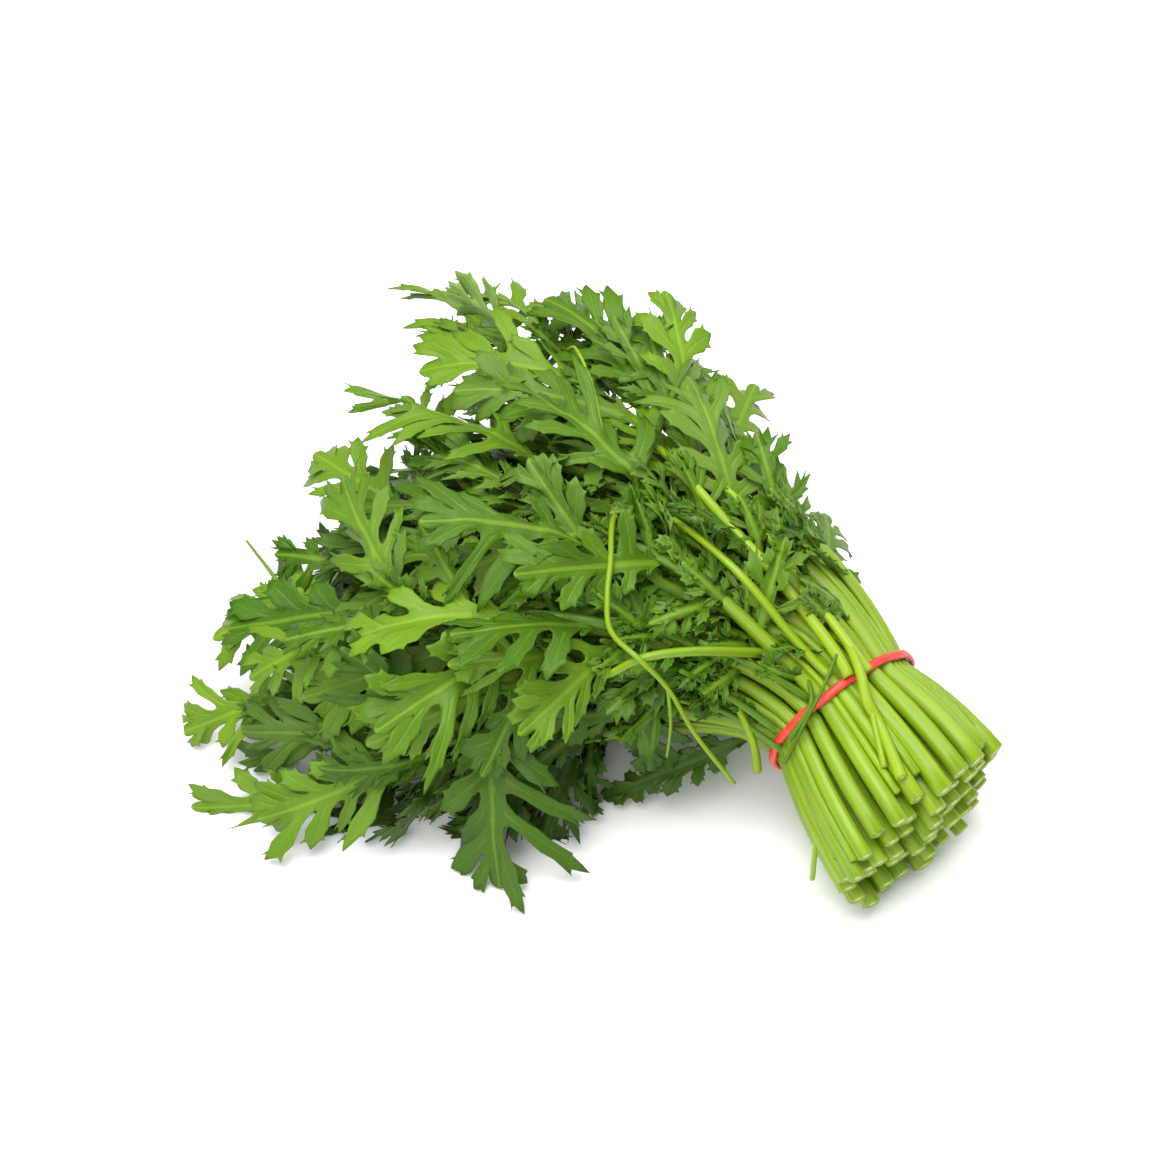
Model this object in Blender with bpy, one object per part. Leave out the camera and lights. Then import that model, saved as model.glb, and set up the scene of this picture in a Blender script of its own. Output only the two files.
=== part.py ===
"""A bunch of chrysanthemum greens lying on its side, tied at the waist with a rubber band.

The photograph's view looks along +Y from above: +X is to its right, +Z is up, and the bunch rests
on Z = 0. Every leafy stem is one node, its lobed leaves fused to it. The band is another node.
"""

import math
import random

import bmesh
import bpy
from mathutils import Vector
from mathutils.bvhtree import BVHTree

SEED = 7
UP = Vector((0, 0, 1))

# The waist, where the band pinches the stems, and the line that they take through it
WAIST = Vector((0.084, -0.0934, 0.0424))
AXIS_BEARING = math.radians(126)
AXIS_RISE = math.radians(15)

# Rings of stems across the waist: how many there are, and how far out their centres lie
RINGS = ((24, 0.0241), (17, 0.0180), (11, 0.0119), (5, 0.0058))
STEM_R = 0.0028
TIP_R = 0.0012
STEM_STATIONS = (0.0, 0.16, 0.40, 0.70, 1.0)
INNER_STATIONS = (0.0, 0.22, 0.60, 1.0)

# The butt below the band: straight at the band, then flared, and cut off shorter on top and at a side
STRAIGHT = 0.003
BUTT_LENGTH = 0.051
BUTT_FLARE_ACROSS = 0.46
BUTT_FLARE_UP = 0.12
BUTT_SWELL = 1.06
CUT_SHORT_TOP = 0.06
CUT_SHORT_SIDE = 0.18
CUT_UNEVEN = (-0.0035, 0.0025)

# A free stem: how far it runs on from the waist and into its end, and how much it opens out
LEAD = 0.36
LEAD_LOST = 0.16
FULL_SWING = 1.1
OPENING_OUT = 0.22
ARRIVAL = 0.34
STAGGER_TOP = (0.0, -0.34, -0.17)
STAGGER_LOW = (0.0, -0.15)
INNER_STAGGER_LOST = 0.5
SWAY = 0.15
DROOP = math.radians(8)
DROOP_OUT = math.radians(30)
HANDLE_EASE = (0.0, 0.35, 1.0, 0.6)

# The fan of leaves: its bearings seen from above, how far it reaches, and how high it stands
FAN_MIDDLE = math.radians(151)
FAN_HALF = math.radians(45)
FAN_REACH = 0.211
FAN_ROUNDING = 0.42
LEAF_OVERHANG = 0.050
CROWN_START = 0.070
CROWN_RISE = 0.055
CROWN_ROUNDING = 0.8
CROWN_SIDE_DROP = 0.3
CROWN_DEPTH = 0.006
HEAP_FLOOR = 0.007
HEAP_TOP = 0.112
FLOOR_Z = 0.0006

# The heap's spine, which leaves face away from: its height, how far it runs, and their lift
SPINE_Z = 0.025
SPINE_RUN = (0.02, 0.15)
LIFT_LEAST = 0.012
LIFT = 1.4

# One leaf: a ribbed blade with pairs of lobes, each with two teeth
LEAF_THICK = 0.0007
LEAF_BASE_HALF = 0.0008
RACHIS_HALF = 0.0024
LOBE_PAIRS = 3
FIRST_LOBE = 0.22
LOBES_RUN = 0.46
LOBE_LEAN = math.radians(62)
LEAN_LOST = math.radians(20)
LEAN_UNEVEN = math.radians(5)
LOBE_UNEVEN = (0.85, 1.0)
LOBE_HALF = 0.062
TOOTH_HALF = 0.8
BACK_TOOTH = 0.84
FRONT_TOOTH = 1.04
SINUS_STEP = 0.125
CREST_FROM = 0.93
CREST_HALF = 0.26
FORMS = 6
LEAF_LENGTHS = (0.050, 0.070)
LEAF_WIDTHS = (0.54, 0.66)
BENDS = (0.2, 1.1)
FOLDS = (0.0, 0.3)
TWIST = 0.5
ARCH = 9.0
WAVE = 0.10
WAVE_TURNS = 9
FACE_TURN = 0.7
SEEN_WIDTH = 0.62
SEEN_BENDS = (0.25, 0.6)
SEEN_FOLDS = (0.0, 0.2)
SEEN_TURN = 0.2

# Where leaves leave a stem, as shares of its free length, and the leaf at its end
LAST_SITE = 0.985
SITES_TOP = ((1.0, 0.82, 0.64), (1.0, 0.84, 0.70, 0.56))
SITES_TOP_RIGHT = (1.0, 0.80, 0.62)
SITES_FEW = (1.0, 0.80)
SITE_SHIFT = 0.07
LAST_OPENING = 0.3
LAST_OPENING_MORE = 0.7
SIDE_OPENING = (0.35, 0.75)
SIDE_OPENING_ASIDE = 0.4
LAST_AROUND = 2.0
SIDE_AROUND = 1.5

# Placing: room kept between pieces, and how often one is drawn again
GAP = 0.0005
LEAF_ROOM = 0.0008
STEM_ROOM = 0.0004
LEAF_TRIES = 120
STEM_TRIES = 400
STEM_SLACK = 0.024
SEEN_SLACK = 0.012
OWN_REACH = 0.010
STEM_SAMPLES = 40

# Leaves that the photograph shows plainly, in millimetres, and the stem that each is on
# Those that end their stem: (ring, index): (base, tip)
SEEN_ENDS = {
    (0, 8): ((-17, -62, 90), (-50, -76, 80)),
    (0, 10): ((-35, -83, 68), (-90, -92, 48)),
    (0, 11): ((-30, -97, 55), (-28, -134, 3)),
    (0, 12): ((-58, -103, 30), (-106, -114, 12)),
    (0, 13): ((-86, -99, 8), (-130, -102, 2)),
    (0, 14): ((-97, -70, 28), (-136, -74, 8)),
    (1, 7): ((-86, -44, 55), (-124, -54, 34)),
    (0, 7): ((-62, -30, 70), (-92, 4, 62)),
    (0, 6): ((-45, -14, 74), (-62, 22, 72)),
    (0, 4): ((-28, 42, 72), (-58, 88, 62)),
    (0, 3): ((-10, 40, 76), (-34, 78, 70)),
    (0, 2): ((6, 24, 80), (-7, 68, 76)),
    (0, 1): ((34, -6, 80), (42, 38, 68)),
    (0, 0): ((46, 0, 62), (60, 46, 54)),
    (1, 3): ((36, -40, 88), (16, -6, 90)),
}
# Those further down a stem: (ring, index, share of its free length): (tip, width)
SEEN_SIDES = {
    (0, 5, 0.50): ((34, 4, 98), 18),
    (0, 23, 0.70): ((58, 20, 42), 24),
    (0, 2, 0.34): ((62, -22, 84), 20),
    (0, 0, 0.34): ((83, -9, 46), 24),
    (0, 14, 0.08): ((7, -97, 2), 14),
    (0, 11, 0.44): ((19, -101, 20), 22),
    (0, 9, 0.42): ((12, -70, 82), 24),
}

# The rubber band
BAND_WIDTH = 0.0034
BAND_THICK = 0.0016
BAND_STEPS = 32


def turned(vector, axis, angle):
    """vector turned about a unit axis."""
    return (
        vector * math.cos(angle)
        + axis.cross(vector) * math.sin(angle)
        + axis * axis.dot(vector) * (1 - math.cos(angle))
    )


def level_direction(bearing, rise=0.0):
    """The direction with that bearing seen from above and that rise, both in radians."""
    return Vector(
        (
            math.cos(bearing) * math.cos(rise),
            math.sin(bearing) * math.cos(rise),
            math.sin(rise),
        )
    )


AXIS = level_direction(AXIS_BEARING, AXIS_RISE)
ACROSS = AXIS.cross(UP).normalized()
ABOVE = ACROSS.cross(AXIS)


def fan_reach(share):
    """How far the leaves reach from the waist, at a share of the fan from -1 to 1."""
    return FAN_REACH * (1 - FAN_ROUNDING * share**4)


def inside_fan(place):
    """Whether a place is within the fan of leaves seen from above, and not over the heap's top."""
    away = Vector((place.x - WAIST.x, place.y - WAIST.y))
    share = (FAN_MIDDLE - math.atan2(away.y, away.x) % (2 * math.pi)) / FAN_HALF
    return abs(share) < 1 and away.length < fan_reach(share) and place.z < HEAP_TOP


def crown_height(share, out):
    """Height of the heap's top at a share of the fan, out being 0 at the waist and 1 at the edge."""
    rise = (CROWN_START + CROWN_RISE * out) * max(0.0, 1 - out**4) ** CROWN_ROUNDING
    return rise * (1 - CROWN_SIDE_DROP * abs(share) ** 3)


class Stem:
    """One stem's place in the bunch, and its centre line from the cut butt to the last leaf."""

    def __init__(self, ring, index, rng):
        count, radius = RINGS[ring]
        self.ring = ring
        self.index = index
        self.name = f"leafy_stem_{ring + 1}_{index + 1:02d}"
        angle = 2 * math.pi * (index + 0.5 * (ring % 2) + 0.25) / count
        self.across = radius * math.cos(angle)
        self.above = radius * math.sin(angle)
        u = self.across / (RINGS[0][1] * 1.001)
        v = self.above / RINGS[0][1]
        self.share = 2 * math.asin(u) / math.pi
        self.level = max(-1.0, min(1.0, v / math.sqrt(1 - u * u)))
        kept = 1 - CUT_SHORT_TOP * v - CUT_SHORT_SIDE * max(0.0, u)
        self.cut = BUTT_LENGTH * kept + rng.uniform(*CUT_UNEVEN)
        self.shares = STEM_STATIONS if ring == 0 else INNER_STATIONS
        self.seen = SEEN_ENDS.get((ring, index))
        if self.seen:
            end = Vector(self.seen[0]) / 1000
            arrival = (Vector(self.seen[1]) - Vector(self.seen[0])).normalized()
        else:
            end, arrival = self.free_end(rng)
        start = self.waist_point(-STRAIGHT)
        length = (end - start).length
        swing = min(1.0, abs(FAN_MIDDLE - FAN_HALF * self.share - AXIS_BEARING) / FULL_SWING)
        outward = AXIS + (ACROSS * u + ABOVE * v) * OPENING_OUT
        self.drawn = (
            start,
            start + outward.normalized() * (LEAD - LEAD_LOST * swing) * length,
            end - arrival * (ARRIVAL * length),
            end,
        )
        self.handles = self.drawn

    def free_end(self, rng):
        """Where a stem ends that the photograph doesn't show, and its direction there."""
        bearing = FAN_MIDDLE - FAN_HALF * self.share
        reach = fan_reach(self.share)
        staggers = STAGGER_TOP if self.level > 0.1 else STAGGER_LOW
        stagger = staggers[self.index % len(staggers)]
        stagger *= 1 - INNER_STAGGER_LOST * self.ring / len(RINGS)
        out = (1 - LEAF_OVERHANG / reach) * (1 + stagger)
        top = crown_height(self.share, out) - CROWN_DEPTH
        height = HEAP_FLOOR + (top - HEAP_FLOOR) * (0.5 + 0.5 * self.level)
        end = level_direction(bearing) * (out * reach) + Vector((WAIST.x, WAIST.y, height))
        droop = DROOP + DROOP_OUT * out if self.level > -0.3 else 0.0
        return end, level_direction(bearing + rng.uniform(-SWAY, SWAY), -droop)

    def bend_clear(self, rng, slack):
        """Moves the stem's middle, and its end if the photograph doesn't show it, a little."""
        moved = list(self.drawn)
        for n in (1, 2, 3):
            ease = 0.0 if n == 3 and self.seen else HANDLE_EASE[n]
            moved[n] = moved[n] + Vector([rng.uniform(-slack, slack) * ease for _ in range(3)])
            moved[n].z = max(moved[n].z, HEAP_FLOOR)
        self.handles = moved

    def waist_point(self, back):
        """A point of the straight bit at the band or of the flared butt, back metres behind it."""
        flare = max(0.0, back - STRAIGHT) / (BUTT_LENGTH - STRAIGHT)
        return (
            WAIST
            - AXIS * back
            + ACROSS * (self.across * (1 + BUTT_FLARE_ACROSS * flare))
            + ABOVE * (self.above * (1 + BUTT_FLARE_UP * flare))
        )

    def point(self, along):
        """A point of the free stem: along is 0 at the band and 1 at the stem's end."""
        a, b, c, d = self.handles
        rest = 1 - along
        return (
            a * rest**3
            + b * (3 * rest * rest * along)
            + c * (3 * rest * along * along)
            + d * along**3
        )

    def spot(self, along):
        """The middle of the tube there: the tube runs straight from station to station."""
        shares = self.shares
        for low, high in zip(shares, shares[1:]):
            if along <= high:
                break
        part = (along - low) / (high - low)
        return self.point(low).lerp(self.point(high), part)

    def tangent(self, along):
        step = 0.01
        return (self.point(min(1.0, along + step)) - self.point(along - step)).normalized()

    def radius(self, along):
        return STEM_R + (TIP_R - STEM_R) * max(0.0, along) ** 1.2

    def line(self):
        """(point, radius) along the stem, from its cut end, with few stations."""
        cut_end = (self.waist_point(self.cut), STEM_R * BUTT_SWELL)
        stations = [cut_end, (self.waist_point(STRAIGHT), STEM_R)]
        return stations + [(self.point(share), self.radius(share)) for share in self.shares]


def outward_from_heap(place):
    """The way out of the heap of leaves at a place: away from its spine, and never downwards."""
    spine = level_direction(FAN_MIDDLE)
    foot = Vector((WAIST.x, WAIST.y, SPINE_Z))
    along = max(SPINE_RUN[0], min(SPINE_RUN[1], (place - foot).dot(spine)))
    away = place - (foot + spine * along)
    away.z = max(LIFT_LEAST, away.z) * LIFT
    return away.normalized()


class Leaf:
    """One leaf: where its base is, which way it goes, and how its blade bends."""

    def __init__(self, base, way, face, length, width, bend, fold, twist, form):
        self.base = base
        self.way = way
        self.face = (face - way * face.dot(way)).normalized()
        self.side = self.way.cross(self.face)
        self.length = length
        self.width = width
        self.bend = bend
        self.fold = fold
        self.twist = twist
        self.form = form

    def place(self, x, y):
        """The place in space of a point of the flat leaf: x from the base along the rib, y across."""
        radius = self.length / self.bend
        angle = x / radius
        ahead = self.way * math.cos(angle) - self.face * math.sin(angle)
        normal = self.face * math.cos(angle) + self.way * math.sin(angle)
        roll = self.twist * x / self.length
        side = self.side * math.cos(roll) + normal * math.sin(roll)
        normal = ahead.cross(side) * -1
        wave = math.sin(x / self.length * WAVE_TURNS + self.form * 2.1) * WAVE * abs(y)
        lift = self.fold * abs(y) - ARCH * y * y + wave
        spot = (
            self.base
            + self.way * (radius * math.sin(angle))
            - self.face * (radius * (1 - math.cos(angle)))
            + side * y
            + normal * lift
        )
        spot.z = max(spot.z, FLOOR_Z)
        return spot


def half_outline(length, width, form):
    """One side of the flat leaf, from the base to the tip: the sinuses, and each lobe's two teeth."""
    rng = random.Random(form)
    sinuses = [(0.0, LEAF_BASE_HALF)]
    lobes = []
    for k in range(LOBE_PAIRS):
        t = k / (LOBE_PAIRS - 1)
        root = length * (FIRST_LOBE + LOBES_RUN * t)
        lean = LOBE_LEAN - LEAN_LOST * t + rng.uniform(-LEAN_UNEVEN, LEAN_UNEVEN)
        belly = 0.72 + 0.5 * math.sin(math.pi * (0.2 + 0.6 * t))
        reach = width / 2 * belly * rng.uniform(*LOBE_UNEVEN)
        ahead = Vector((math.cos(lean), math.sin(lean)))
        off = Vector((math.sin(lean), -math.cos(lean)))
        wide = length * LOBE_HALF * TOOTH_HALF
        foot = Vector((root, 0))
        back = foot + ahead * reach * BACK_TOOTH - off * wide
        front = foot + ahead * reach * FRONT_TOOTH + off * wide
        lobes.append((back, front))
        sinuses.append((root + length * SINUS_STEP, RACHIS_HALF))
    return sinuses, lobes


def blade(leaf):
    """The leaf's middle surface as a bmesh in place, cut into triangles while it is flat."""
    flat = bmesh.new()
    rib = []
    sides = [half_outline(leaf.length, leaf.width, leaf.form * 2 + s) for s in (0, 1)]
    for k in range(LOBE_PAIRS + 1):
        rib.append(flat.verts.new((sides[0][0][k][0], 0, 0)))
    ends = []
    for sign, (sinuses, lobes) in zip((1, -1), sides):
        edge = [flat.verts.new((x, y * sign, 0)) for x, y in sinuses]
        for k, teeth in enumerate(lobes):
            points = [flat.verts.new((p.x, p.y * sign, 0)) for p in teeth]
            flat.faces.new([rib[k], edge[k], *points, edge[k + 1], rib[k + 1]][::-sign])
        ends.append(edge[-1])
    tip = leaf.length
    wide = leaf.width * CREST_HALF
    crest = [
        flat.verts.new((tip * CREST_FROM, wide, 0)),
        flat.verts.new((tip, 0, 0)),
        flat.verts.new((tip * CREST_FROM, -wide, 0)),
    ]
    flat.faces.new([rib[-1], ends[0], *crest, ends[1]][::-1])
    bmesh.ops.triangulate(flat, faces=flat.faces[:], ngon_method="EAR_CLIP")
    for vert in flat.verts:
        vert.co = leaf.place(vert.co.x, vert.co.y)
    flat.normal_update()
    return flat


def thickened(surface, thickness):
    """The middle surface made a closed blade of that thickness, its two faces cut alike."""
    offsets = {vert.co.copy().freeze(): vert.normal * (thickness / 2) for vert in surface.verts}
    made = bmesh.ops.extrude_face_region(surface, geom=surface.faces[:], use_keep_orig=True)
    upper = {item for item in made["geom"] if isinstance(item, bmesh.types.BMVert)}
    for vert in surface.verts:
        offset = offsets[vert.co.copy().freeze()]
        vert.co += offset if vert in upper else -offset
    bmesh.ops.recalc_face_normals(surface, faces=surface.faces[:])
    bmesh.ops.triangulate(surface, faces=surface.faces[:])
    return surface


def stem_mesh(stem, swell):
    """The bare stem, swollen for tests: a tube along its line, as a mesh with welded caps."""
    curve = bpy.data.curves.new(stem.name, "CURVE")
    curve.dimensions = "3D"
    curve.bevel_depth = 1.0
    curve.bevel_resolution = 1
    curve.use_fill_caps = True
    spline = curve.splines.new("POLY")
    stations = stem.line()
    spline.points.add(len(stations) - 1)
    for point, (place, radius) in zip(spline.points, stations):
        point.co = (*place, 1)
        point.radius = radius + swell
    guide = bpy.data.objects.new(stem.name + "_line", curve)
    bpy.context.collection.objects.link(guide)
    graph = bpy.context.evaluated_depsgraph_get()
    mesh = bpy.data.meshes.new_from_object(guide.evaluated_get(graph))
    bpy.data.objects.remove(guide)
    tube = bmesh.new()
    tube.from_mesh(mesh)
    bmesh.ops.remove_doubles(tube, verts=tube.verts, dist=1e-5)
    bmesh.ops.recalc_face_normals(tube, faces=tube.faces[:])
    bmesh.ops.triangulate(tube, faces=tube.faces[:])
    tube.to_mesh(mesh)
    tube.free()
    mesh.name = stem.name
    return mesh


def leaf_sites(stem):
    """Where a stem's leaves leave it: more on the top of the heap and at its left."""
    if stem.ring == 0 and stem.level > 0:
        return SITES_TOP[stem.index % 2] if stem.share < 0.2 else SITES_TOP_RIGHT
    more = stem.share < -0.2 if stem.ring == 0 else stem.level > 0.3 and stem.share < 0.3
    return SITES_FEW if more and stem.ring < 2 else SITES_FEW[:1]


def seen_leaf(stem, along, tip, width, rng, attempt):
    """A leaf that the photograph shows, from its place on the stem to its tip."""
    base = stem.spot(along)
    slack = SEEN_SLACK * attempt / LEAF_TRIES
    goal = tip + Vector([rng.uniform(-slack, slack) for _ in range(3)])
    chord = goal - base
    out = outward_from_heap(base + chord * 0.5)
    turn = rng.uniform(-SEEN_TURN, SEEN_TURN) * (1 + attempt * 0.05)
    face = turned(out, chord.normalized(), turn)
    face = (face - chord * (face.dot(chord) / chord.dot(chord))).normalized()
    bend = rng.uniform(*SEEN_BENDS) + 0.8 * attempt / LEAF_TRIES
    way = chord.normalized() * math.cos(bend / 2) + face * math.sin(bend / 2)
    length = chord.length * (bend / 2) / math.sin(bend / 2)
    width = width or length * SEEN_WIDTH
    fold = rng.uniform(*SEEN_FOLDS)
    return Leaf(base, way, face, length, width, bend, fold, 0.0, rng.randrange(FORMS))


def other_leaf(stem, site, rng, attempt):
    """One random leaf at a site of a stem, freer and smaller with each attempt."""
    ease = 1 - attempt / LEAF_TRIES
    last = site == 1.0
    along = LAST_SITE if last else site + rng.uniform(-SITE_SHIFT, SITE_SHIFT)
    tangent = stem.tangent(along)
    base = stem.spot(along)
    out = outward_from_heap(base)
    out = (out - tangent * out.dot(tangent)).normalized()
    beside = tangent.cross(out)
    around = rng.uniform(-1, 1)
    if last:
        around *= LAST_AROUND
        opening = rng.uniform(0.0, LAST_OPENING + LAST_OPENING_MORE * (1 - ease))
    else:
        around *= SIDE_AROUND
        opening = rng.uniform(*SIDE_OPENING) + SIDE_OPENING_ASIDE * abs(around)
    aside = out * math.cos(around) + beside * math.sin(around)
    way = tangent * math.cos(opening) + aside * math.sin(opening)
    face = turned(out, way, rng.uniform(-FACE_TURN, FACE_TURN))
    length = rng.uniform(*LEAF_LENGTHS) * (0.5 + 0.5 * ease)
    width = length * rng.uniform(*LEAF_WIDTHS)
    bend = rng.uniform(*BENDS) * (0.2 + 0.8 * ease)
    fold = rng.uniform(*FOLDS)
    twist = rng.uniform(-TWIST, TWIST)
    form = rng.randrange(FORMS)
    return Leaf(base, way.normalized(), face, length, width, bend, fold, twist, form)


def crosses_own_stem(tree, leaf, stem, along):
    """Whether the leaf meets its own stem elsewhere than at its base."""
    for k in range(STEM_SAMPLES + 1):
        share = k / STEM_SAMPLES
        spot = stem.spot(share)
        if (spot - leaf.base).length > OWN_REACH and abs(share - along) > 0.5 / STEM_SAMPLES:
            if tree.find_nearest(spot, stem.radius(share) + GAP)[0]:
                return True
    return False


def tree_of(mesh):
    """A search tree of a mesh, which finds where another tree's faces cross it."""
    work = bmesh.new()
    work.from_mesh(mesh)
    tree = BVHTree.FromBMesh(work)
    work.free()
    return tree


def standing_stems(rng):
    """Every stem, each bent clear of those before it, with its search tree."""
    stems = [Stem(ring, i, rng) for ring, (count, _) in enumerate(RINGS) for i in range(count)]
    stems.sort(key=lambda stem: (not stem.seen, stem.ring))
    trees = []
    for stem in stems:
        for attempt in range(STEM_TRIES):
            stem.bend_clear(rng, STEM_SLACK * attempt / STEM_TRIES)
            mesh = stem_mesh(stem, STEM_ROOM)
            tree = tree_of(mesh)
            bpy.data.meshes.remove(mesh)
            if not any(tree.overlap(other) for other in trees):
                break
        mesh = stem_mesh(stem, 0.0)
        trees.append(tree_of(mesh))
        bpy.data.meshes.remove(mesh)
    return stems, trees


def leaf_jobs(stems):
    """(stem number, site, what is seen of the leaf) for every leaf, in the order of their placing."""
    place = {(stem.ring, stem.index): n for n, stem in enumerate(stems)}
    jobs = []
    for (ring, index), (_, tip) in SEEN_ENDS.items():
        jobs.append((place[ring, index], LAST_SITE, (Vector(tip) / 1000, 0)))
    for (ring, index, along), (tip, width) in SEEN_SIDES.items():
        jobs.append((place[ring, index], along, (Vector(tip) / 1000, width / 1000)))
    others = []
    for n, stem in enumerate(stems):
        for site in leaf_sites(stem):
            if site != 1.0 or not stem.seen:
                others.append((site != 1.0, stem.ring, n, site))
    return jobs + [(n, site, None) for _, _, n, site in sorted(others)]


def grown():
    """Every stem with its leaves. A leaf is drawn again until it is clear of all that stands, and
    left out where the heap has no room for it."""
    rng = random.Random(SEED)
    stems, trees = standing_stems(rng)
    standing = []
    leaves = [[] for _ in stems]
    for n, site, seen in leaf_jobs(stems):
        for attempt in range(LEAF_TRIES):
            if seen:
                leaf = seen_leaf(stems[n], site, *seen, rng, attempt)
            else:
                leaf = other_leaf(stems[n], site, rng, attempt)
            solid = thickened(blade(leaf), LEAF_THICK + LEAF_ROOM)
            tree = BVHTree.FromBMesh(solid)
            solid.free()
            if not seen and not inside_fan(leaf.place(leaf.length, 0)):
                continue
            if any(tree.overlap(other) for m, other in enumerate(trees) if m != n):
                continue
            if any(tree.overlap(other) for other in standing):
                continue
            if crosses_own_stem(tree, leaf, stems[n], site):
                continue
            solid = thickened(blade(leaf), LEAF_THICK)
            standing.append(BVHTree.FromBMesh(solid))
            solid.free()
            leaves[n].append(leaf)
            break
    return stems, leaves


def principled(name, colour, roughness):
    """A plain material."""
    material = bpy.data.materials.new(name)
    material.use_nodes = True
    shader = material.node_tree.nodes["Principled BSDF"]
    shader.inputs["Base Color"].default_value = (*colour, 1)
    shader.inputs["Roughness"].default_value = roughness
    shader.inputs["Metallic"].default_value = 0.0
    return material


def fused(stem, leaves, material, home):
    """The stem's node: its tube and all its leaves in one Boolean union."""
    name = stem.name
    node = bpy.data.objects.new(name, stem_mesh(stem, 0.0))
    home.objects.link(node)
    if leaves:
        blades = bmesh.new()
        for leaf in leaves:
            data = bpy.data.meshes.new(name + "_leaf")
            solid = thickened(blade(leaf), LEAF_THICK)
            solid.to_mesh(data)
            solid.free()
            blades.from_mesh(data)
            bpy.data.meshes.remove(data)
        data = bpy.data.meshes.new(name + "_leaves")
        blades.to_mesh(data)
        blades.free()
        added = bpy.data.objects.new(name + "_leaves", data)
        home.objects.link(added)
        join = node.modifiers.new("join", "BOOLEAN")
        join.operation = "UNION"
        join.object = added
        join.solver = "EXACT"
        graph = bpy.context.evaluated_depsgraph_get()
        whole = bpy.data.meshes.new_from_object(node.evaluated_get(graph))
        node.modifiers.remove(join)
        node.data = whole
        bpy.data.objects.remove(added)
    node.data.materials.clear()
    node.data.materials.append(material)
    return node


def rubber_band(home):
    """The band round the waist: a flat strap with rounded edges, turned on the bunch's axis."""
    inner = RINGS[0][1] + STEM_R + GAP
    half = BAND_WIDTH / 2
    profile = [
        (inner, -half),
        (inner + BAND_THICK * 0.7, -half),
        (inner + BAND_THICK, -half * 0.55),
        (inner + BAND_THICK, half * 0.55),
        (inner + BAND_THICK * 0.7, half),
        (inner, half),
    ]
    strap = bmesh.new()
    ring = [strap.verts.new((r, 0, z)) for r, z in profile]
    edges = [strap.edges.new((a, b)) for a, b in zip(ring, ring[1:] + ring[:1])]
    bmesh.ops.spin(
        strap,
        geom=ring + edges,
        cent=(0, 0, 0),
        axis=(0, 0, 1),
        angle=2 * math.pi,
        steps=BAND_STEPS,
        use_merge=True,
    )
    bmesh.ops.recalc_face_normals(strap, faces=strap.faces[:])
    mesh = bpy.data.meshes.new("rubber_band")
    strap.to_mesh(mesh)
    strap.free()
    mesh.shade_smooth()
    mesh.materials.append(principled("red_rubber", (0.70, 0.07, 0.05), 0.5))
    band = bpy.data.objects.new("rubber_band", mesh)
    band.location = WAIST
    band.rotation_mode = "QUATERNION"
    band.rotation_quaternion = AXIS.to_track_quat("Z", "Y")
    home.objects.link(band)
    return band


def main():
    """Clears the scene and models the bunch, its box centred over the origin and standing on Z = 0."""
    for old in list(bpy.data.objects):
        bpy.data.objects.remove(old)
    home = bpy.data.collections.new("chrysanthemum_greens_bunch")
    bpy.context.scene.collection.children.link(home)
    green = principled("leaf_green", (0.13, 0.26, 0.035), 0.5)
    nodes = [fused(stem, own, green, home) for stem, own in zip(*grown())]
    nodes.append(rubber_band(home))
    origin = bpy.data.objects.new("bunch_origin", None)
    home.objects.link(origin)
    bpy.context.view_layer.update()
    corners = [node.matrix_world @ vert.co for node in nodes for vert in node.data.vertices]
    low = [min(corner[i] for corner in corners) for i in range(3)]
    high = [max(corner[i] for corner in corners) for i in range(3)]
    origin.location = (-(low[0] + high[0]) / 2, -(low[1] + high[1]) / 2, -low[2])
    for node in nodes:
        node.parent = origin


main()
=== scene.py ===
import math
import random

import bmesh
import bpy
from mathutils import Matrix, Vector
from mathutils.bvhtree import BVHTree


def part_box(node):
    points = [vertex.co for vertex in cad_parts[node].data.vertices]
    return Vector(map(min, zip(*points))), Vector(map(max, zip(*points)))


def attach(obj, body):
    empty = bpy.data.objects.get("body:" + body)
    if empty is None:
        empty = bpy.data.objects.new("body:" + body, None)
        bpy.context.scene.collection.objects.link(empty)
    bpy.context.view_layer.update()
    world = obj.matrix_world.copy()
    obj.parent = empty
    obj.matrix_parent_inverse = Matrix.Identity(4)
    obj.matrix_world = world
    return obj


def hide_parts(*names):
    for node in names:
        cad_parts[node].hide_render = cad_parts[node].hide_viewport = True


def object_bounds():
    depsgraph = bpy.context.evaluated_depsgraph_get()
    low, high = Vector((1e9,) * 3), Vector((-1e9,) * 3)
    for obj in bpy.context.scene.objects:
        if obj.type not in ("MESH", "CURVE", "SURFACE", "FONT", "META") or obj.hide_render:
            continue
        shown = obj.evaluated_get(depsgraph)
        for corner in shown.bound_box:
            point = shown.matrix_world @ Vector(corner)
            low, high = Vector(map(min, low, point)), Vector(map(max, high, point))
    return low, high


# The bunch: chrysanthemum greens, lying on their side and tied with a red rubber band. The packed
# model gives its box. All places are the source's own, and the band's tells how far to move them.
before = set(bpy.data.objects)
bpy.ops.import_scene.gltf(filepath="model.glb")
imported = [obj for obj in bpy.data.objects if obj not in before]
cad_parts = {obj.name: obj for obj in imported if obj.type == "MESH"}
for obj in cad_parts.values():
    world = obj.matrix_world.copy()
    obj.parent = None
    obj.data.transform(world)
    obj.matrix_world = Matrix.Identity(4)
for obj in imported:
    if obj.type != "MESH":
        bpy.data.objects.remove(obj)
model_low, model_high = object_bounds()
WAIST = Vector((0.084, -0.0934, 0.0424))
band_low, band_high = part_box("rubber_band")
HOME = (band_low + band_high) / 2 - WAIST

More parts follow.
